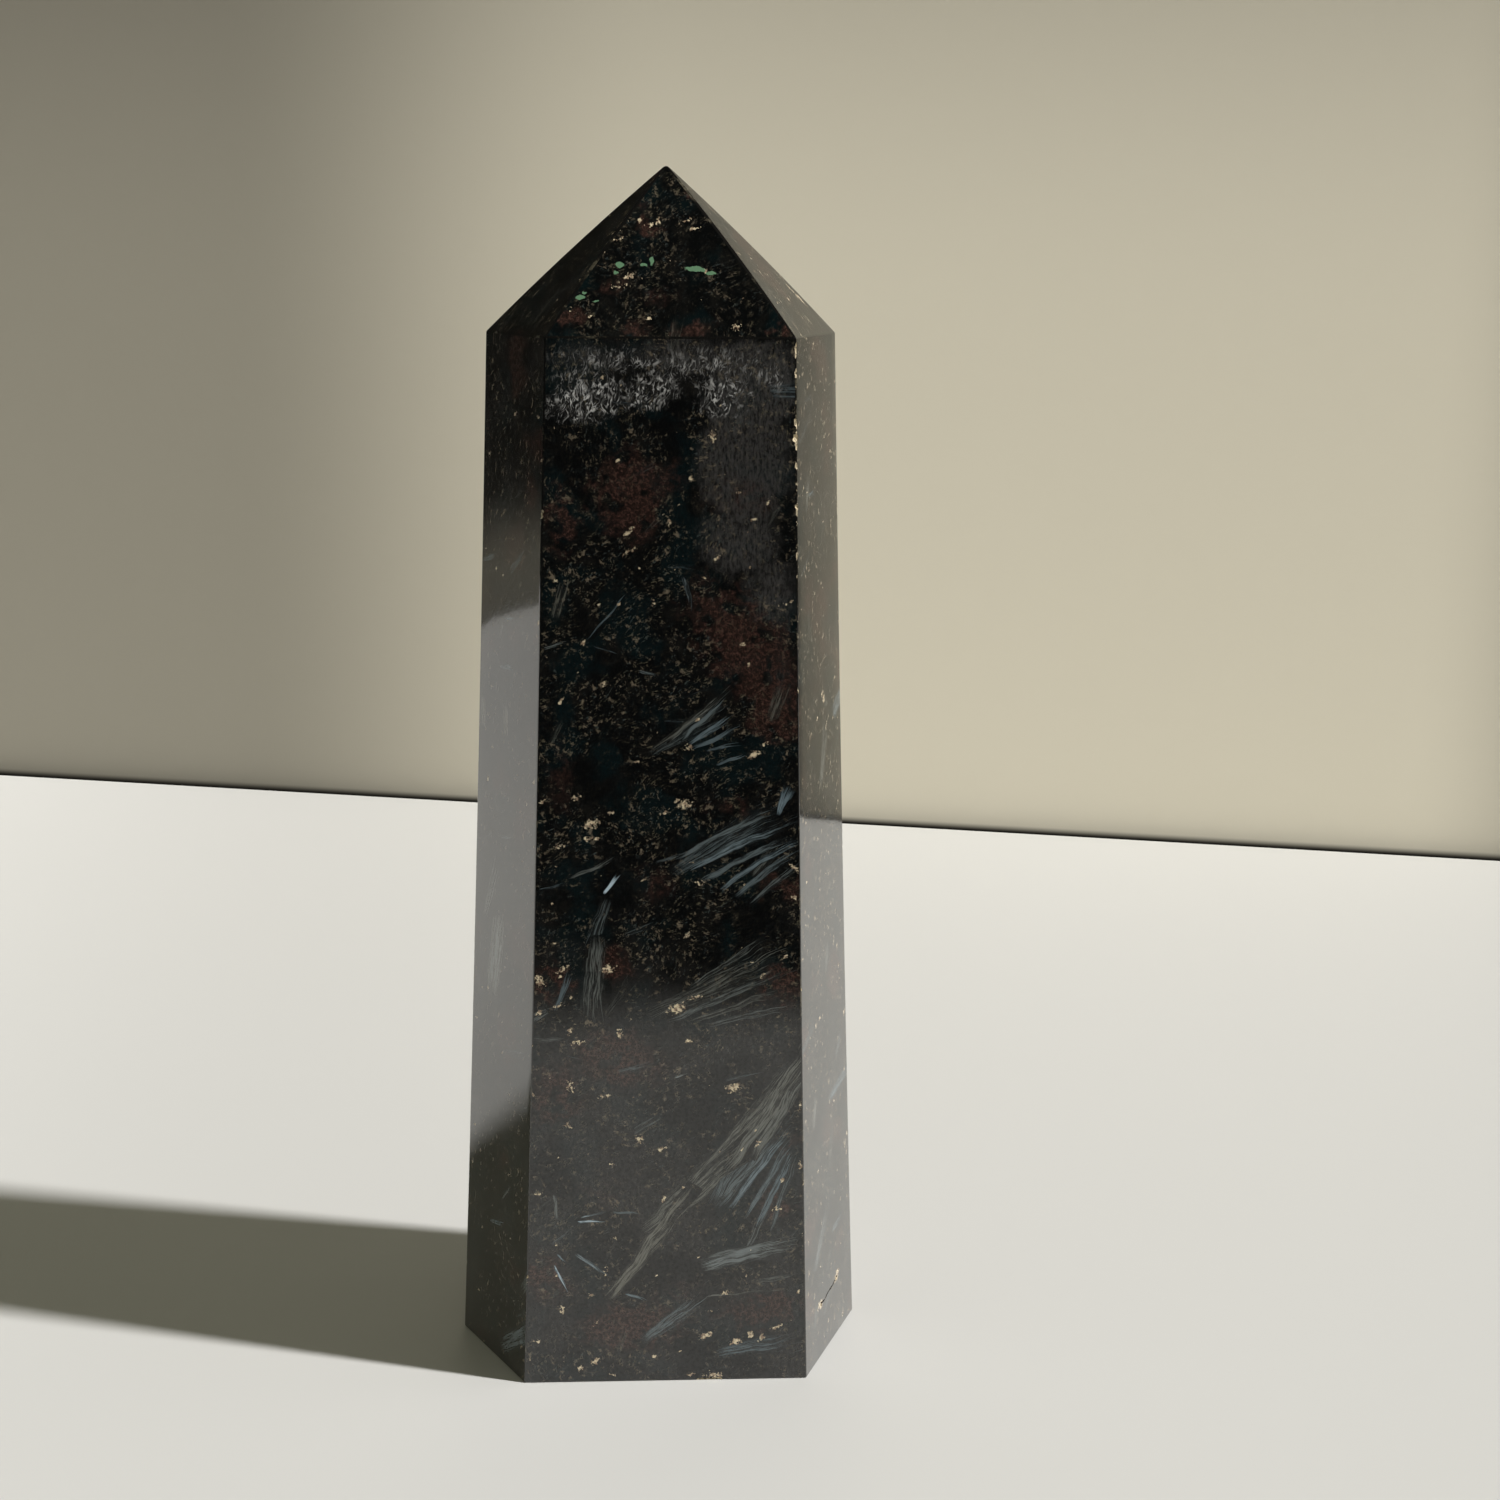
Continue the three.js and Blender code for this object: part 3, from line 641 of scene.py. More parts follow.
def unfold(stone):
    """Unfolds the stone into a flat map of its own, each side looked at squarely."""
    size = settings()
    gap = UNFOLDED_GAP * MM
    bm = bmesh.new()
    bm.from_mesh(stone.data)
    flat = bm.loops.layers.uv.new("OFBake")
    shifts = {}
    width = gap
    for side in UNFOLDED:
        left, right = (end.dot(outward(side)[1]) for end in side_ends(side, 0))
        shifts[side] = width - left
        width += right - left + gap
        if side == "front":
            base_across = width - gap / 2
    base_up = size.shoulder + BASE_LIFT * MM
    height = base_up + SIDES["back"][1] * MM * BASE_SHARE + gap
    for face in bm.faces:
        broken = face.material_index in (BROKEN_SLOT, FISSURE_SLOT)
        side = SIDE_NAMES[side_beside(face) if broken else nearest_side(face)]
        along = outward(side)[1]
        for loop in face.loops:
            place = loop.vert.co
            if face.normal.z < DOWNWARDS and not broken:
                across, up = base_across - place.x * BASE_SHARE, base_up + place.y * BASE_SHARE
            else:
                across, up = shifts[side] + place.dot(along), place.z + gap
                up += max(place.z - size.shoulder, 0) * (TIP_STRETCH - 1)
            loop[flat].uv = (across / width, up / height)
    bm.to_mesh(stone.data)
    bm.free()


class Wire:
    """A value in a node tree. Sums and products of wires lay down the math nodes."""

    def __init__(self, tree, socket):
        self.tree = tree
        self.socket = socket

    def math(self, operation, *others):
        """One math node on this wire and others."""
        return math_node(self.tree, operation, self, *others)

    def __add__(self, other):
        return self.math("ADD", other)

    def __sub__(self, other):
        return self.math("SUBTRACT", other)

    def __rsub__(self, other):
        return math_node(self.tree, "SUBTRACT", other, self)

    def __mul__(self, other):
        return self.math("MULTIPLY", other)

    def __truediv__(self, other):
        return self.math("DIVIDE", other)

    def __rtruediv__(self, other):
        return math_node(self.tree, "DIVIDE", other, self)

    __radd__ = __add__
    __rmul__ = __mul__


def plug(socket, value):
    """Links a wire to a socket, or sets a plain value on it."""
    if isinstance(value, Wire):
        value.tree.links.new(value.socket, socket)
    else:
        socket.default_value = value


def new_node(tree, kind, inputs=(), **options):
    """A shader node with its options set, and its inputs plugged from pairs of name and value."""
    node = tree.nodes.new("ShaderNode" + kind)
    for name, value in options.items():
        setattr(node, name, value)
    for name, value in inputs:
        plug(node.inputs[name], value)
    return node


def math_node(tree, operation, *values):
    """One sum, product or comparison of numbers."""
    return Wire(tree, new_node(tree, "Math", enumerate(values), operation=operation).outputs[0])


def vector_node(operation, first, second):
    """The same for vectors; SCALE takes a number second."""
    inputs = ((0, first), ("Scale" if operation == "SCALE" else 1, second))
    return Wire(first.tree, new_node(first.tree, "VectorMath", inputs, operation=operation).outputs[0])


def mapped(place, kind, location=(0, 0, 0), rotation=(0, 0, 0), scale=(1, 1, 1)):
    """A place that is moved, turned and scaled, or with TEXTURE the frame that it is seen from."""
    inputs = (("Vector", place), ("Location", location), ("Rotation", rotation), ("Scale", scale))
    return Wire(place.tree, new_node(place.tree, "Mapping", inputs, vector_type=kind).outputs[0])


def moved(place, across, up):
    """The same pattern space shifted, so that two patterns don't fall on each other."""
    return mapped(place, "POINT", (across, up, 0))


def split(vector):
    """The three numbers of a vector."""
    node = new_node(vector.tree, "SeparateXYZ", ((0, vector),))
    return [Wire(vector.tree, socket) for socket in node.outputs]


def joined(tree, *numbers):
    """A vector made of up to three numbers."""
    return Wire(tree, new_node(tree, "CombineXYZ", enumerate(numbers)).outputs[0])


def object_place(tree):
    """The place on the object, in metres."""
    return Wire(tree, new_node(tree, "TexCoord").outputs["Object"])


def millimetres(tree, turn=0.0):
    """The place on the object in millimetres, turned about the upright."""
    return mapped(object_place(tree), "POINT", rotation=(0, 0, turn), scale=(1 / MM, 1 / MM, 1 / MM))


def band(value, low, high):
    """Rises smoothly from 0 to 1 as the value goes from low to high, or falls if high is lower."""
    inputs = (("Value", value), ("From Min", low), ("From Max", high))
    node = new_node(value.tree, "MapRange", inputs, interpolation_type="SMOOTHSTEP", clamp=False)
    return Wire(value.tree, node.outputs[0])


def blend(under, over, share):
    """One colour laid over another by a share from 0 to 1."""
    under, over = (c if isinstance(c, Wire) else (*c, 1) for c in (under, over))
    inputs = ((0, share), (6, under), (7, over))
    return Wire(share.tree, new_node(share.tree, "Mix", inputs, data_type="RGBA").outputs[2])


def shade(colour, share):
    """A plain colour made darker, or lighter by a share over 1."""
    return [channel * share for channel in colour]


def between(under, over, share):
    """A number between two others by a share."""
    return under + (over - under) * share


def cloudy(place, scale, detail=2.0, rough=0.5, dimensions="2D", output=0):
    """Noise: output 0 is one number, and output 1 is three of them as a colour."""
    inputs = (("Vector", place), ("Scale", scale), ("Detail", detail), ("Roughness", rough))
    node = new_node(place.tree, "TexNoise", inputs, noise_dimensions=dimensions)
    return Wire(place.tree, node.outputs[output])


def pattern(place, name, dimensions="2D"):
    """One of the named noise patterns: 0 where it is absent and 1 where it is full."""
    across, up, scale, detail, rough, low, high = PATTERNS[name]
    if across or up:
        place = moved(place, across, up)
    return band(cloudy(place, scale, detail, rough, dimensions), low, high)


def cells(place, scale):
    """Scattered cells: the middle of the nearest one and three random numbers that belong to it."""
    inputs = (("Vector", place), ("Scale", scale))
    node = new_node(place.tree, "TexVoronoi", inputs, voronoi_dimensions="2D")
    return Wire(place.tree, node.outputs["Position"]), split(Wire(place.tree, node.outputs["Color"]))


def strayed(place, scale, amount, detail=2.0):
    """A place shifted about by noise, so that what is laid there has a ragged outline."""
    drift = vector_node("SUBTRACT", cloudy(place, scale, detail, output=1), (0.5, 0.5, 0.5))
    return vector_node("ADD", place, vector_node("SCALE", drift, amount))


def gradient(place, kind):
    """How far along (or near the middle of) a place is, kept between 0 and 1."""
    node = new_node(place.tree, "TexGradient", (("Vector", place),), gradient_type=kind)
    return Wire(place.tree, node.outputs["Fac"])


FLOAT, VECTOR, COLOUR = "NodeSocketFloat", "NodeSocketVector", "NodeSocketColor"


def floats(*labels):
    """Labels for sockets that take or give one number."""
    return tuple((label, FLOAT) for label in labels)


def vectors(*labels):
    """Labels for sockets of places, turns and sizes."""
    return tuple((label, VECTOR) for label in labels)


def colours(*labels):
    """Labels for sockets of colours."""
    return tuple((label, COLOUR) for label in labels)


def new_group(name, takes, gives):
    """An empty node group: its input wires by name, and a function that connects its outputs."""
    group = bpy.data.node_groups.new(name, "ShaderNodeTree")
    for label, kind in takes:
        group.interface.new_socket(label, in_out="INPUT", socket_type=kind)
    for label, kind in gives:
        group.interface.new_socket(label, in_out="OUTPUT", socket_type=kind)
    enter = group.nodes.new("NodeGroupInput")
    leave = group.nodes.new("NodeGroupOutput")

    def give(**results):
        """Connects the results to the outputs and returns the group."""
        for label, value in results.items():
            plug(leave.inputs[label], value)
        return group

    return {label: Wire(group, enter.outputs[label]) for label, _ in takes}, give


def use(group, tree, **takes):
    """A node group put to work in a tree: its outputs by name."""
    node = new_node(tree, "Group", node_tree=GROUPS[group])
    for label, value in takes.items():
        plug(node.inputs[label], value)
    return {socket.name: Wire(tree, socket) for socket in node.outputs}


def patch_group():
    """Adds one soft oval patch to a field of them."""
    takes = vectors("Place", "Middle", "Turn", "Size") + floats("Strength", "Field")
    given, give = new_group("Patch", takes, floats("Field"))
    local = mapped(given["Place"], "TEXTURE", given["Middle"], given["Turn"], given["Size"])
    patch = gradient(local, "SPHERICAL") * given["Strength"]
    return give(Field=patch.math("MAXIMUM", given["Field"]))


def sheaf_group():
    """Lays one sheaf of fibres over those before it, keeping the stronger at each place."""
    given, give = new_group("Fibre Sheaf", floats("Forward", "Sideways", *SHEAF, *LAID), floats(*LAID))
    forward = given["Forward"]
    inside = forward.math("MAXIMUM", 0.0)
    half = given["Root"] + (1.0 - given["Root"]) * inside
    spread = (given["Sideways"] - given["Sway"] * inside * inside) / half
    fibre = spread * given["Fibres"] + given["Strength"] * 37.0 + given["Root"] * 11.0
    side = band(spread.math("ABSOLUTE"), 1.1, 0.4)
    ends = band(forward, -0.02, 0.04) * band(forward, 1.02, 0.96)
    weight = given["Strength"] * side * ends
    more = weight.math("GREATER_THAN", given["Best"])
    return give(
        Best=weight.math("MAXIMUM", given["Best"]),
        Across=between(given["Across"], fibre, more),
        Along=between(given["Along"], inside * given["Length"], more),
        Share=between(given["Share"], inside, more),
        Hue=between(given["Hue"], given["Olive"], more),
    )


def placed_sheaf_group():
    """A sheaf at a chosen place: one gradient runs along it and one across it."""
    takes = vectors("Place", "Behind", "Heading", "Reach", "Beside", "Crossing", "Width")
    given, give = new_group("Placed Sheaf", takes + floats(*SHEAF, *LAID), floats(*LAID))
    place = given["Place"]
    ahead = mapped(place, "TEXTURE", given["Behind"], given["Heading"], given["Reach"])
    beside = mapped(place, "TEXTURE", given["Beside"], given["Crossing"], given["Width"])
    forward = (gradient(ahead, "LINEAR") - 0.25) * 2.0
    sideways = (gradient(beside, "LINEAR") - 0.5) * (2.0 * CROSSING)
    passed = {name: given[name] for name in SHEAF + LAID}
    return give(**use("sheaf", place.tree, Forward=forward, Sideways=sideways, **passed))


def wisp_group():
    """Broken curling strands: the level lines of a stretched noise, kept in places."""
    takes = vectors("Place", "Heading", "Grain") + floats("Width", "Kept")
    given, give = new_group("Wisps", takes, floats("Mask"))
    local = mapped(given["Place"], "TEXTURE", (0, 0, 0), given["Heading"], given["Grain"])
    level = (cloudy(local, 1.0, 2.0, 0.55) - 0.5).math("ABSOLUTE")
    kept = band(cloudy(moved(local, 40, 9), 1.3, 2.0, 0.6), given["Kept"], given["Kept"] + 0.14)
    return give(Mask=band(level, given["Width"], given["Width"] * 0.25) * kept)


def grain_group():
    """Ragged streaky grains: noise stretched along one heading and cut off at a level."""
    takes = vectors("Place", "Heading", "Grain") + floats("Low", "High", "Detail")
    given, give = new_group("Ragged Grain", takes, floats("Mask"))
    local = mapped(given["Place"], "TEXTURE", (0, 0, 0), given["Heading"], given["Grain"])
    return give(Mask=band(cloudy(local, 1.0, given["Detail"], 0.74), given["Low"], given["High"]))


def streak_group():
    """The lit fibres and the dark gaps inside a sheaf, each fibre with its own ends."""
    given, give = new_group("Fibre Streaks", floats(*LAID), floats("Light", "Gap"))
    tree = given["Best"].tree
    fray = cloudy(joined(tree, given["Across"], given["Hue"] * 9.0), 1.3, 1.0, 0.6)
    ends = band(given["Share"] + fray * 0.3, 0.1, 0.3) * band(given["Share"] + fray * 0.8, 1.4, 0.95)
    fine = cloudy(joined(tree, given["Across"], given["Along"] * 0.3), 1.9, 3.0, 0.6)
    broad = cloudy(joined(tree, given["Across"], given["Along"] * 0.4), 0.5, 1.0, 0.5)
    there = given["Best"] * ends
    edge = 0.56 - there.math("MINIMUM", 1.0) * 0.22
    lit = band(fine * 0.6 + broad * 0.4, edge, edge + 0.16)
    return give(Light=(lit * 0.72 + 0.28) * there, Gap=band(there, 0.1, 0.6) * (1.0 - lit))


def ground_group():
    """The black mass of the stone under its haze, with its fine grains, strands and crumbs."""
    paint = settings()
    takes = vectors("Place") + floats("Haze", "Open", "Upright")
    given, give = new_group("Stone Ground", takes, colours("Colour"))
    place = given["Place"]
    tree = place.tree
    colour = blend(paint.black, paint.sooty, pattern(place, "soot"))
    colour = blend(colour, paint.teal, pattern(place, "teal cast"))
    upright = mapped(moved(place, 70, 20), "TEXTURE", scale=(0.4, 1.2, 1))
    colour = blend(colour, paint.haze, given["Haze"] * pattern(upright, "haze threads"))
    clusters = pattern(place, "grain clusters") * 0.85 + 0.15
    dense = given["Open"] * clusters * (pattern(place, "grain patches") * 0.85 + 0.15)
    swirled = strayed(place, 0.1, 4.0, 1.0)
    slanting, standing = (
        use(
            "grain", tree, Place=swirled, Heading=(0, 0, turn), Grain=(0.75, 0.36, 1),
            Low=0.52, High=0.68, Detail=6.0,
        )["Mask"]
        for turn in (0.6, 1.5)
    )
    grain_colour = blend(paint.grey_grain, paint.olive_grain, pattern(place, "warm grains"))
    colour = blend(colour, grain_colour, between(slanting, standing, given["Upright"]) * dense * 0.85)
    strands = use(
        "wisps", tree, Place=swirled, Heading=(0, 0, 0.6), Grain=(1.8, 0.55, 1), Width=0.04, Kept=0.6,
    )["Mask"]
    colour = blend(colour, grain_colour, strands * dense * 0.15)
    crumbs = pattern(swirled, "ground crumbs")
    return give(Colour=blend(colour, paint.crumb, crumbs * dense * dense * 0.8))


def scattered_sheaf_group():
    """Sheaves of fibres scattered at random in cells."""
    takes = vectors("Place") + floats("Cell", "Heading", "Filled", "Strength", *LAID)
    given, give = new_group("Scattered Sheaves", takes, floats(*LAID))
    tree = given["Place"].tree
    middle, (first, second, third) = cells(given["Place"], 1.0 / given["Cell"])
    length = given["Cell"] * (second * 0.45 + 0.45)
    flare = length * (first * 0.12 + 0.1)
    there = third.math("LESS_THAN", given["Filled"])
    turn = joined(tree, 0.0, 0.0, given["Heading"] + (first - 0.5) * 1.7)
    local = mapped(given["Place"], "TEXTURE", middle, turn, joined(tree, length, flare, 1.0))
    forward, sideways = split(local)[:2]
    return give(**use(
        "sheaf", tree, Forward=forward + 0.5, Sideways=sideways, Root=second * 0.7 + 0.15,
        Sway=(third - 0.3) * 1.2, Fibres=flare / FIBRE_PITCH, Length=length,
        Strength=there * given["Strength"] * (second * 0.6 + 0.4), Olive=first,
        **{name: given[name] for name in LAID},
    ))


def fleck_group():
    """Feldspar flecks with ragged outlines, from a field of soft patches."""
    paint = settings()
    takes = vectors("Place") + floats("Field")
    given, give = new_group("Feldspar Flecks", takes, floats("Mask") + colours("Colour"))
    place = given["Place"]
    crumbs = cloudy(place, 2.2, 4.0, 0.75)
    mask = band(given["Field"] * 0.8 + crumbs * 2.2, 1.44, 1.56) * band(given["Field"], 0.02, 0.12)
    return give(Mask=mask, Colour=blend(paint.tan_fleck, paint.cream_fleck, pattern(place, "cream")))


def strewn_fleck_group():
    """Small flecks strewn in cells, most of them tiny and a few large."""
    given, give = new_group("Strewn Flecks", vectors("Place") + floats("Cell", "Filled"), floats("Field"))
    place = given["Place"]
    tree = place.tree
    middle, (first, second, third) = cells(place, 1.0 / given["Cell"])
    reach = second * second * given["Cell"] * 0.25 + 0.1
    turn = joined(tree, 0.0, 0.0, first * 1.4)
    size = joined(tree, reach, reach * (first * 0.3 + 0.35), 1.0)
    local = mapped(strayed(place, 2.2, 0.5, 3.0), "TEXTURE", middle, turn, size)
    return give(Field=gradient(local, "SPHERICAL") * third.math("LESS_THAN", given["Filled"]))


def felt_group():
    """One layer of the felted band: pale curling wisps about upright, where the field is strong."""
    paint = settings()
    takes = vectors("Place", "Grain") + colours("Colour") + floats("Width", "Field")
    given, give = new_group("Pale Felt", takes, colours("Colour"))
    place = given["Place"]
    wisps = use(
        "wisps", place.tree, Place=strayed(place, 0.5, 1.6, 1.0), Heading=(0, 0, 1.35),
        Grain=given["Grain"], Width=given["Width"], Kept=0.46,
    )["Mask"]
    pale = blend(shade(paint.felt, 0.18), paint.felt, pattern(place, "bright felt"))
    return give(Colour=blend(given["Colour"], pale, wisps * band(given["Field"], 0.0, 0.65)))


# The node groups by name. Those that another group uses stand before it.
GROUPS = {}
GROUP_MAKERS = {
    "patch": patch_group, "sheaf": sheaf_group, "placed sheaf": placed_sheaf_group,
    "wisps": wisp_group, "grain": grain_group, "streaks": streak_group, "ground": ground_group,
    "scattered sheaves": scattered_sheaf_group, "flecks": fleck_group,
    "strewn flecks": strewn_fleck_group, "felt": felt_group,
}


def build_groups():
    """Makes the node groups anew, from the colours in the panel."""
    for name, maker in GROUP_MAKERS.items():
        GROUPS[name] = maker()


def lay_patches(place, marks):
    """A field of oval patches, from rows of place, half sizes, turn and strength."""
    field = math_node(place.tree, "ADD", 0.0, 0.0)
    for across, up, half_length, half_width, turn, strength in marks:
        field = use(
            "patch", place.tree, Place=place, Middle=(across, up, 0), Turn=(0, 0, math.radians(turn)),
            Size=(half_length, half_width, 1), Strength=strength, Field=field,
        )["Field"]
    return field


def lay_sheaves(place, marks, laid):
    """Sheaves of fibres, from rows of start, heading, length, widths, bend, strength and hue."""
    for across, up, heading, length, root, flare, bend, strength, olive in marks:
        start = Vector((across, up, 0))
        turn = math.radians(heading)
        ahead = Vector((math.cos(turn), math.sin(turn), 0))
        beside = Vector((-math.sin(turn), math.cos(turn), 0))
        laid = use(
            "placed sheaf", place.tree, Place=place,
            Behind=start - ahead * length / 2, Heading=(0, 0, turn), Reach=(length * 2, 1, 1),
            Beside=start - beside * flare * CROSSING, Crossing=(0, 0, turn + math.pi / 2),
            Width=(flare * CROSSING * 2, 1, 1), Root=root / flare, Sway=bend / flare,
            Fibres=max(root, flare) / FIBRE_PITCH, Length=length, Strength=strength, Olive=olive, **laid,
        )
    return laid


def in_zone(marks, zone, span, margin):
    """The marks whose span of heights, with a margin, shows in a zone; none if there is no zone."""
    if zone is None:
        return []
    low, high = zone
    return [m for m in marks if max(span(m)) + margin > low and min(span(m)) - margin < high]


def patches_near(marks, zone):
    """The oval patches that show in a zone."""
    return in_zone(marks, zone, lambda m: (m[1] - max(m[2], m[3]), m[1] + max(m[2], m[3])), 2)


def sheaves_near(marks, zone):
    """The sheaves that show in a zone."""
    return in_zone(marks, zone, lambda m: (m[1], m[1] + m[3] * math.sin(math.radians(m[2]))), 3)


class Spot:
    """Where a finish is laid: the tree, the side and its zone, and the places on it in millimetres.

    place runs across from the side's middle and up from the base, strewn is the same shifted, so
    that no two sides are alike, and up is the height.
    """

    def __init__(self, tree, side, zone):
        self.tree, self.side, self.zone = tree, side, zone
        self.front = zone is not None
        turn = math.radians(SIDES["front"][0] - SIDES[side][0]) if side in SIDES else 0.0
        across, depth, self.up = split(millimetres(tree, turn))
        if side in SIDES:
            shift = SIDE_NAMES.index(side) * 61.0
            self.place = joined(tree, across, self.up)
            self.strewn = joined(tree, across + shift, self.up + shift * 0.7)
        else:
            self.place = joined(tree, across, depth)
            self.strewn = joined(tree, across + 17.0, depth + 400.0)
        self.mottle = cloudy(self.strewn, 2.0, 5.0, 0.7)


def ragged(spot, marks, scale, amount, detail=2.0):
    """A field of patches with outlines frayed by noise of a scale and an amount."""
    return lay_patches(strayed(spot.place, scale, amount, detail), marks)


def new_material(name):
    """A material with its tree and its shader."""
    material = bpy.data.materials.new(name)
    material.use_nodes = True
    return material, material.node_tree, material.node_tree.nodes["Principled BSDF"]


def polish(shader, rough):
    """The hand polish: a clear hard surface over the slightly softer rock."""
    plug(shader.inputs["Roughness"], rough)
    shader.inputs["IOR"].default_value = 1.45
    shader.inputs["Coat Weight"].default_value = 1.0
    shader.inputs["Coat Roughness"].default_value = 0.04
    shader.inputs["Coat IOR"].default_value = 1.52


def raised(shader, height, strength):
    """Lets a height in millimetres tilt the polished surface."""
    node = new_node(height.tree, "Bump", (("Strength", strength), ("Distance", MM), ("Height", height)))
    plug(shader.inputs["Normal"], Wire(height.tree, node.outputs[0]))


def ground_colour(spot):
    """The black ground: clean in the dark patches, and hazy and open where the marks say so."""
    clean = band(ragged(spot, patches_near(DARK_PATCHES, spot.zone), 0.5, 3.0), 0.05, 0.5)
    if spot.front:
        below_tip = band(spot.up, *TIP_FROM[::-1])
        upright = band(spot.up, *UPRIGHT_FROM) * below_tip
        opened = band(spot.up, *OPEN_FROM) * 0.1 + 0.9 - band(spot.up, *TIP_FROM) * 0.25
        opened = opened * (1.0 - clean * 0.9)
        hazy = ragged(spot, patches_near(HAZE_PATCHES, spot.zone), 0.3, 2.5, 3.0)
        high = band(hazy, 0.05, 0.5) * band(spot.up, *HAZE_TO)
        low = pattern(spot.strewn, "low haze") * band(spot.up, *LOW_HAZE_TO) * 0.45
        haze = high.math("MAXIMUM", low) * (1.0 - clean)
    else:
        upright, opened = 0.0, 0.8
        haze = pattern(spot.strewn, "side haze") * 0.4
    return use("ground", spot.tree, Place=spot.strewn, Haze=haze, Open=opened, Upright=upright)["Colour"]


def with_garnet(colour, spot):
    """Reddish garnet clouds, mottled."""
    paint = settings()
    if spot.front:
        clouds = ragged(spot, patches_near(GARNET_CLOUDS + TIP_CLOUDS, spot.zone), 0.35, 5.0, 4.0)
    else:
        clouds = pattern(spot.strewn, "side garnet")
    garnet = blend(paint.garnet_dark, paint.garnet_light, band(spot.mottle, 0.4, 0.74))
    return blend(colour, garnet, band(clouds, 0.0, 0.7) * band(spot.mottle, 0.1, 0.5) * 0.75)


def with_crumbs(colour, spot):
    """Pale crumbs strewn thickly in drifts, on every side but the front."""
    paint = settings()
    crumbs = use(
        "grain", spot.tree, Place=strayed(moved(spot.strewn, 5, 2), 0.1, 6.0, 1.0),
        Heading=(0, 0, 1.3), Grain=(1.3, 0.6, 1), Low=0.58, High=0.67, Detail=5.0,
    )["Mask"]
    pale = blend(paint.tan_fleck, paint.cream_fleck, pattern(spot.strewn, "cream crumbs"))
    share = SIDE_CRUMBS.get(spot.side, OTHER_CRUMBS)
    return blend(colour, pale, crumbs * pattern(spot.strewn, "crumb drifts") * share)


def with_fibres(colour, spot):
    """Sheaves of long fibres: scattered ones, then the chosen ones of the front."""
    paint = settings()
    scattered, heading = (FRONT_SCATTER, 0.65) if spot.front else (SIDE_SCATTER, 0.9)
    laid = {name: 0.0 for name in LAID}
    for cell, shift, filled, strength in scattered:
        laid = use(
            "scattered sheaves", spot.tree, Place=moved(spot.strewn, shift, shift / 3), Cell=cell,
            Heading=heading, Filled=filled, Strength=strength, **laid,
        )
    marks = sheaves_near(FRONT_SHEAVES, spot.zone)
    laid = lay_sheaves(strayed(spot.place, 0.25, 0.8, 1.0), marks, laid)
    streaks = use("streaks", spot.tree, **laid)
    colour = blend(colour, paint.black, streaks["Gap"] * 0.8)
    fibre = blend(paint.blue_fibre, paint.olive_fibre, laid["Hue"])
    colour = blend(colour, fibre, band(streaks["Light"], 0.0, 0.7))
    # The brightest streaks turn silver: partly the needles' own colour, partly painted sheen of light off
    # them.
    return blend(colour, paint.silver_fibre_and_sheen, band(streaks["Light"], 0.65, 1.4))


def with_felt(colour, spot, marks):
    """The felted band: a dim base, then layers of wisps from coarse to fine."""
    paint = settings()
    felt = ragged(spot, marks, 0.6, 2.4, 3.0)
    dim = band(felt, 0.0, 0.5) * band(spot.mottle, 0.3, 0.6) * 0.6
    colour = blend(colour, shade(paint.felt, 0.045), dim)
    for grain, width in FELT_LAYERS:
        colour = use(
            "felt", spot.tree, Place=moved(spot.strewn, grain * 50, 0),
            Grain=(grain * 1.1, grain * 0.42, 1), Colour=colour, Width=width, Field=felt,
        )["Colour"]
    return colour


def feldspar(spot):
    """The flecks, strewn and chosen: their mask and their colour."""
    strewn = moved(spot.strewn, 17, 5)
    field = use("strewn flecks", spot.tree, Place=strewn, Cell=2.6, Filled=0.14)["Field"]
    # On the right front side, the chosen marks include a painted highlight on the tip.
    marks = patches_near(PALE_FLECKS + TIP_FLECKS, spot.zone) or SIDE_FLECKS.get(spot.side)
    if marks:
        field = field.math("MAXIMUM", ragged(spot, marks, 1.6, 0.9, 3.0))
    return use("flecks", spot.tree, Place=spot.strewn, Field=field)


def stone_material(name, side, zone=None):
    """The polished finish of one side, with the marks chosen between two heights on it."""
    paint = settings()
    material, tree, shader = new_material(name)
    spot = Spot(tree, side, zone)
    colour = with_garnet(ground_colour(spot), spot)
    if not spot.front:
        colour = with_crumbs(colour, spot)
    colour = with_fibres(colour, spot)
    felted = patches_near(FELT_PATCHES, zone)
    if felted:
        colour = with_felt(colour, spot, felted)
    flecks = feldspar(spot)
    colour = blend(colour, flecks["Colour"], flecks["Mask"])
    greens = patches_near(TIP_GREENS, zone)
    if greens:
        green = band(ragged(spot, greens, 1.6, 0.5, 3.0), 0.12, 0.3)
        colour = blend(colour, paint.mint, green)
    plug(shader.inputs["Base Color"], colour)
    ripple = cloudy(moved(spot.strewn, 60, 60), 0.9, 4.0, 0.6)
    polish(shader, 0.05 + ripple * 0.05 + flecks["Mask"] * 0.2)
    if spot.front:
        plug(shader.inputs["Coat Weight"], band(spot.mottle, 0.32, 0.6) * 0.4 + 0.6)
    raised(shader, ripple * 0.01 - flecks["Mask"] * 0.012, 0.5)
    return material


def arris_material():
    """The eased edges: the same black rock, rubbed pale in places and frayed beside the front."""
    paint = settings()
    material, tree, shader = new_material("rubbed_arris")
    place = millimetres(tree)
    rubbed = pattern(place, "rubbed", "3D")
    colour = blend(paint.sooty, paint.olive_grain, rubbed * 0.6)
    colour = blend(colour, paint.cream_fleck, pattern(place, "cream on edges", "3D") * rubbed)
    across, depth, up = split(place)
    frayed = band(up, *FRAYED_FROM) * band(up, *FRAYED_TO)
    frayed = frayed * band(across, *FRAYED_ACROSS) * band(depth, *FRAYED_DEPTH)
    colour = blend(colour, paint.cream_fleck, frayed * pattern(place, "crumbled", "3D") * 0.6)
    plug(shader.inputs["Base Color"], colour)
    polish(shader, 0.08 + rubbed * 0.3)
    return material


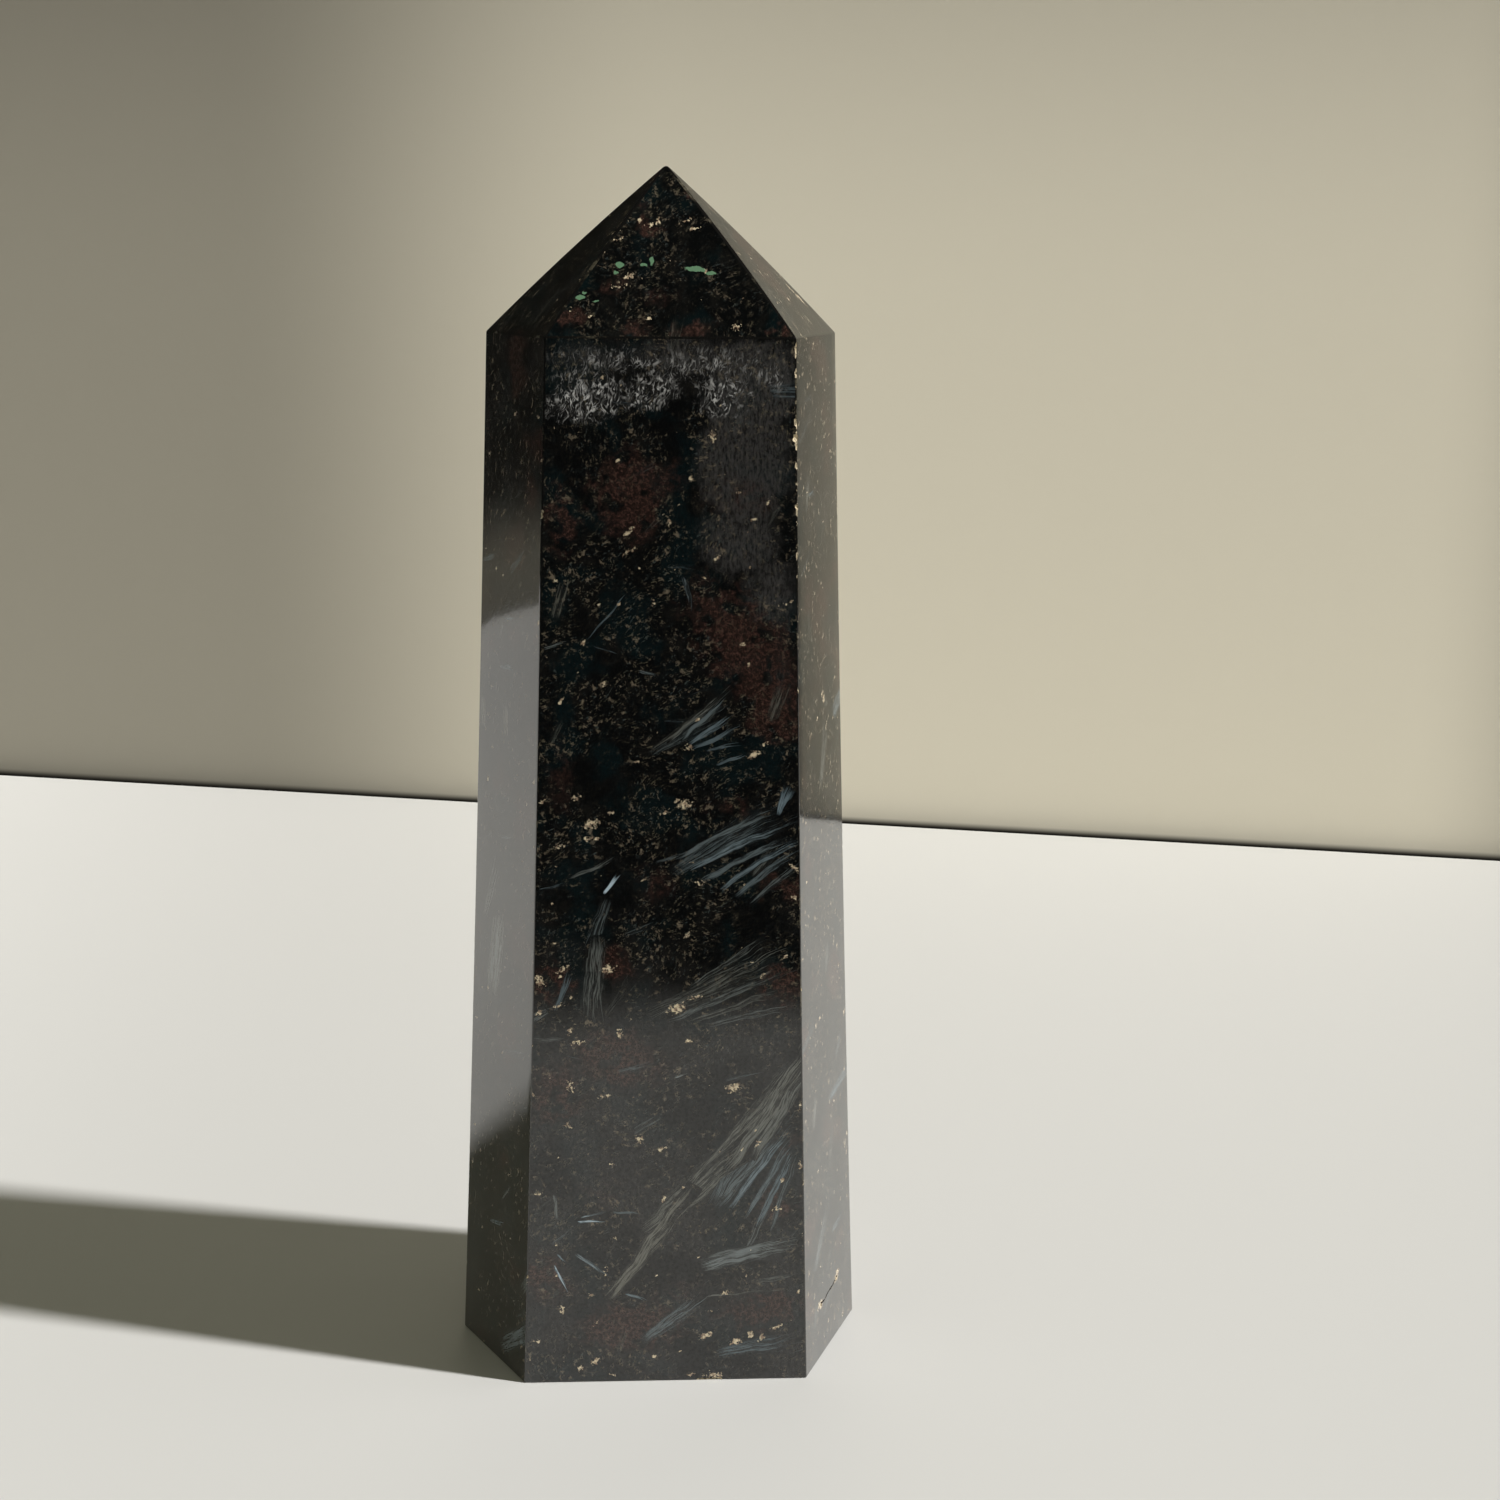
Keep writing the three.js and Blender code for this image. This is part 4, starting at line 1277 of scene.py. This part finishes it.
def broken_material():
    """Freshly broken rock in the chips: dull, pale and crumbly."""
    paint = settings()
    material, tree, shader = new_material("broken_stone")
    grains = cloudy(millimetres(tree), 3.0, 4.0, 0.7, "3D")
    plug(shader.inputs["Base Color"], blend(paint.sooty, paint.cream_fleck, band(grains, 0.36, 0.58)))
    plug(shader.inputs["Roughness"], 0.6 + grains * 0.2)
    return material


def shaded_fissure_material():
    """The fissure walls, painted dark as painted shade in the narrow crack, with a little pale dust in
    them.
    """
    paint = settings()
    material, tree, shader = new_material("fissure_wall_painted_shade")
    dust = pattern(millimetres(tree), "fissure dust", "3D")
    # Painted shade: the walls are dark because the crack lies in shade, not because the rock there is
    # dark.
    plug(shader.inputs["Base Color"], blend(paint.sooty, paint.tan_fleck, dust * 0.6))
    shader.inputs["Roughness"].default_value = 0.8
    return material


def front_zones():
    """The lowest and highest millimetre of each zone of the front side, from the foot up."""
    size = settings()
    tops = [size.shoulder / MM * row / SIDE_ROWS for row in ZONE_ROWS]
    return list(zip([-1.0] + tops, tops + [size.tip[2] / MM + 9.0]))


def stone_materials():
    """One material for each slot of the stone, in the order of the slots."""
    first, *others = front_zones()
    made = [stone_material("polished_front_1", "front", first)]
    for side in SIDE_NAMES[1:] + ["base"]:
        made.append(stone_material("polished_" + side.replace(" ", "_"), side))
    made += [broken_material(), shaded_fissure_material(), arris_material()]
    for n, zone in enumerate(others, 2):
        made.append(stone_material("polished_front_%d" % n, "front", zone))
    return made


class STONE_OT_tower(bpy.types.Operator):
    """Builds the polished stone tower with its chips and its finish"""

    bl_idname = "stone.tower"
    bl_label = "Stone Tower"

    def execute(self, context):
        build_groups()
        bm = bmesh.new()
        saw_blank(bm)
        ease_edges(bm)
        cut_lines(bm)
        grind(bm)
        mark_zones(bm)
        bmesh.ops.recalc_face_normals(bm, faces=bm.faces)
        mesh = bpy.data.meshes.new(STONE)
        bm.to_mesh(mesh)
        bm.free()
        for material in stone_materials():
            mesh.materials.append(material)
        stone = bpy.data.objects.new(STONE, mesh)
        context.scene.collection.objects.link(stone)
        knock_chips(stone)
        unfold(stone)
        weigh = stone.modifiers.new("Flat sides", "WEIGHTED_NORMAL")
        weigh.keep_sharp = True
        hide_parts("arfvedsonite_point")
        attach(stone, "root")
        return {"FINISHED"}


def flat_panel(name, points, material):
    """A flat part of the studio, through a few points."""
    bm = bmesh.new()
    bm.faces.new([bm.verts.new(p) for p in points])
    mesh = bpy.data.meshes.new(name)
    bm.to_mesh(mesh)
    bm.free()
    mesh.materials.append(material)
    made = bpy.data.objects.new(name, mesh)
    bpy.context.scene.collection.objects.link(made)
    return made


def floor_material():
    """The pale floor, with painted shade along its front edge and painted brighter light far to the left.
    """
    colour = settings().floor
    material, tree, shader = new_material("pale_floor")
    # Painted light and shade: the colour is brightened to the left and darkened to a shade along the
    # front edge.
    across, depth = split(object_place(tree))[:2]
    pale = blend(colour, shade(colour, FLOOR_BRIGHT), band(across, *FLOOR_BRIGHT_LEFT))
    lit = band(depth, FLOOR_FRONT, FLOOR_LIT_FROM)
    plug(shader.inputs["Base Color"], blend(shade(colour, FLOOR_SHADE), pale, lit))
    shader.inputs["Roughness"].default_value = 0.5
    return material


def backdrop_material():
    """The pale backdrop with painted light, brightest behind the stone, painted shade elsewhere, and a
    glow though it is no lamp.
    """
    colour = settings().backdrop
    material, tree, shader = new_material("pale_backdrop")
    across, _, up = split(object_place(tree))
    # Painted light and shade: pools of light and darker parts are laid into the colour, and the backdrop
    # also gives that colour out as a glow.
    lit = band(up, *LIGHT_UP) * band(up, *BACKDROP_CREASE)
    lit = lit * band(across, *LIGHT_LEFT) * band(across, *LIGHT_RIGHT)
    lit = lit * (1.0 - band(across, *DIMMER_LEFT) * DIMMER)
    lit = lit * (1.0 - band(across, *DARK_LEFT) * band(up, *DARK_UP))
    far = band(across, *FAR_LIGHT_LEFT) * band(up, *FAR_LIGHT_UP) * FAR_LIGHT
    painted_light_and_glow = blend(shade(colour, BACKDROP_SHADE), colour, lit + far)
    plug(shader.inputs["Base Color"], painted_light_and_glow)
    plug(shader.inputs["Emission Color"], painted_light_and_glow)
    shader.inputs["Emission Strength"].default_value = BACKDROP_GLOW
    shader.inputs["Roughness"].default_value = 0.7
    return material


def lay_floor_and_backdrop():
    """The floor in front of the backdrop and the backdrop standing up behind it."""
    along = Vector((math.cos(BACKDROP_TURN), math.sin(BACKDROP_TURN), 0))
    bottom, top = Vector((0, 0, BACKDROP_BOTTOM)), Vector((0, 0, BACKDROP_TOP))
    left, right = (BACKDROP_FOOT + along * end for end in BACKDROP_ENDS)
    points = (left + bottom, right + bottom, right + top, left + top)
    backdrop = flat_panel("studio_backdrop", points, backdrop_material())
    edge = BACKDROP_FOOT - Vector((0, FLOOR_GAP, 0))
    near = [Vector((end * FLOOR_HALF_WIDTH, FLOOR_FRONT, 0)) for end in (-1, 1)]
    far = [edge + along * end * FLOOR_HALF_WIDTH for end in (1, -1)]
    floor = flat_panel("studio_floor", near + far, floor_material())


def hang_lamps():
    """The lamps, each shining like the sun from its own direction."""
    for name, (colour, energy, spread, azimuth, rise, mirrored) in LAMPS.items():
        light = bpy.data.lights.new(name, "SUN")
        light.energy = energy
        light.angle = math.radians(spread)
        light.color = colour
        lamp = bpy.data.objects.new(name, light)
        azimuth, rise = math.radians(azimuth), math.radians(rise)
        level = Vector((math.cos(azimuth), math.sin(azimuth), 0)) * math.cos(rise)
        toward = level + Vector((0, 0, math.sin(rise)))
        lamp.rotation_euler = toward.to_track_quat("Z", "Y").to_euler()
        lamp.visible_glossy = mirrored
        bpy.context.scene.collection.objects.link(lamp)


def dim_surroundings():
    """Dim grey surroundings: a little lighter to the camera than to the polished stone."""
    world = bpy.data.worlds.new("dim_surroundings")
    world.use_nodes = True
    tree = world.node_tree
    seen = Wire(tree, new_node(tree, "LightPath").outputs["Is Camera Ray"])
    background = tree.nodes["Background"]
    background.inputs["Color"].default_value = (1, 1, 1, 1)
    plug(background.inputs["Strength"], seen * AROUND_SEEN + AROUND_LIGHT)
    bpy.context.scene.world = world


def set_camera():
    """The camera at the photograph's place."""
    camera = bpy.data.cameras.new("camera")
    camera.lens = CAMERA_LENS
    camera.sensor_width = CAMERA_SENSOR
    eye = bpy.data.objects.new("camera", camera)
    turn = Matrix((CAMERA_RIGHT, CAMERA_UP, CAMERA_RIGHT.cross(CAMERA_UP))).transposed()
    eye.matrix_world = Matrix.Translation(CAMERA_PLACE * MM) @ turn.to_4x4()
    bpy.context.scene.collection.objects.link(eye)
    bpy.context.scene.camera = eye
    bpy.context.scene.view_settings.view_transform = "Standard"


class STONE_OT_studio(bpy.types.Operator):
    """Lays the pale floor and backdrop, hangs the lamps and sets the camera"""

    bl_idname = "stone.studio"
    bl_label = "Plain Studio"

    def execute(self, context):
        lay_floor_and_backdrop()
        hang_lamps()
        dim_surroundings()
        set_camera()
        return {"FINISHED"}


class STONE_PT_panel(bpy.types.Panel):
    """Stone tower tools"""

    bl_label = "Arfvedsonite Point"
    bl_idname = "STONE_PT_panel"
    bl_space_type = "VIEW_3D"
    bl_region_type = "UI"
    bl_category = "Stone"

    def draw(self, context):
        for name in StoneSettings.__annotations__:
            self.layout.prop(context.scene.arfvedsonite, name)
        self.layout.operator(STONE_OT_tower.bl_idname)
        self.layout.operator(STONE_OT_studio.bl_idname)


CLASSES = (StoneSettings, STONE_OT_tower, STONE_OT_studio, STONE_PT_panel)


def register():
    """Adds the settings, the operators and the panel."""
    for cls in CLASSES:
        bpy.utils.register_class(cls)
    bpy.types.Scene.arfvedsonite = bpy.props.PointerProperty(type=StoneSettings)


def unregister():
    """Takes them away again."""
    del bpy.types.Scene.arfvedsonite
    for cls in reversed(CLASSES):
        bpy.utils.unregister_class(cls)


def main():
    """Builds the stone and its studio."""
    register()
    bpy.ops.stone.tower()
    bpy.ops.stone.studio()


if __name__ == "__main__":
    main()
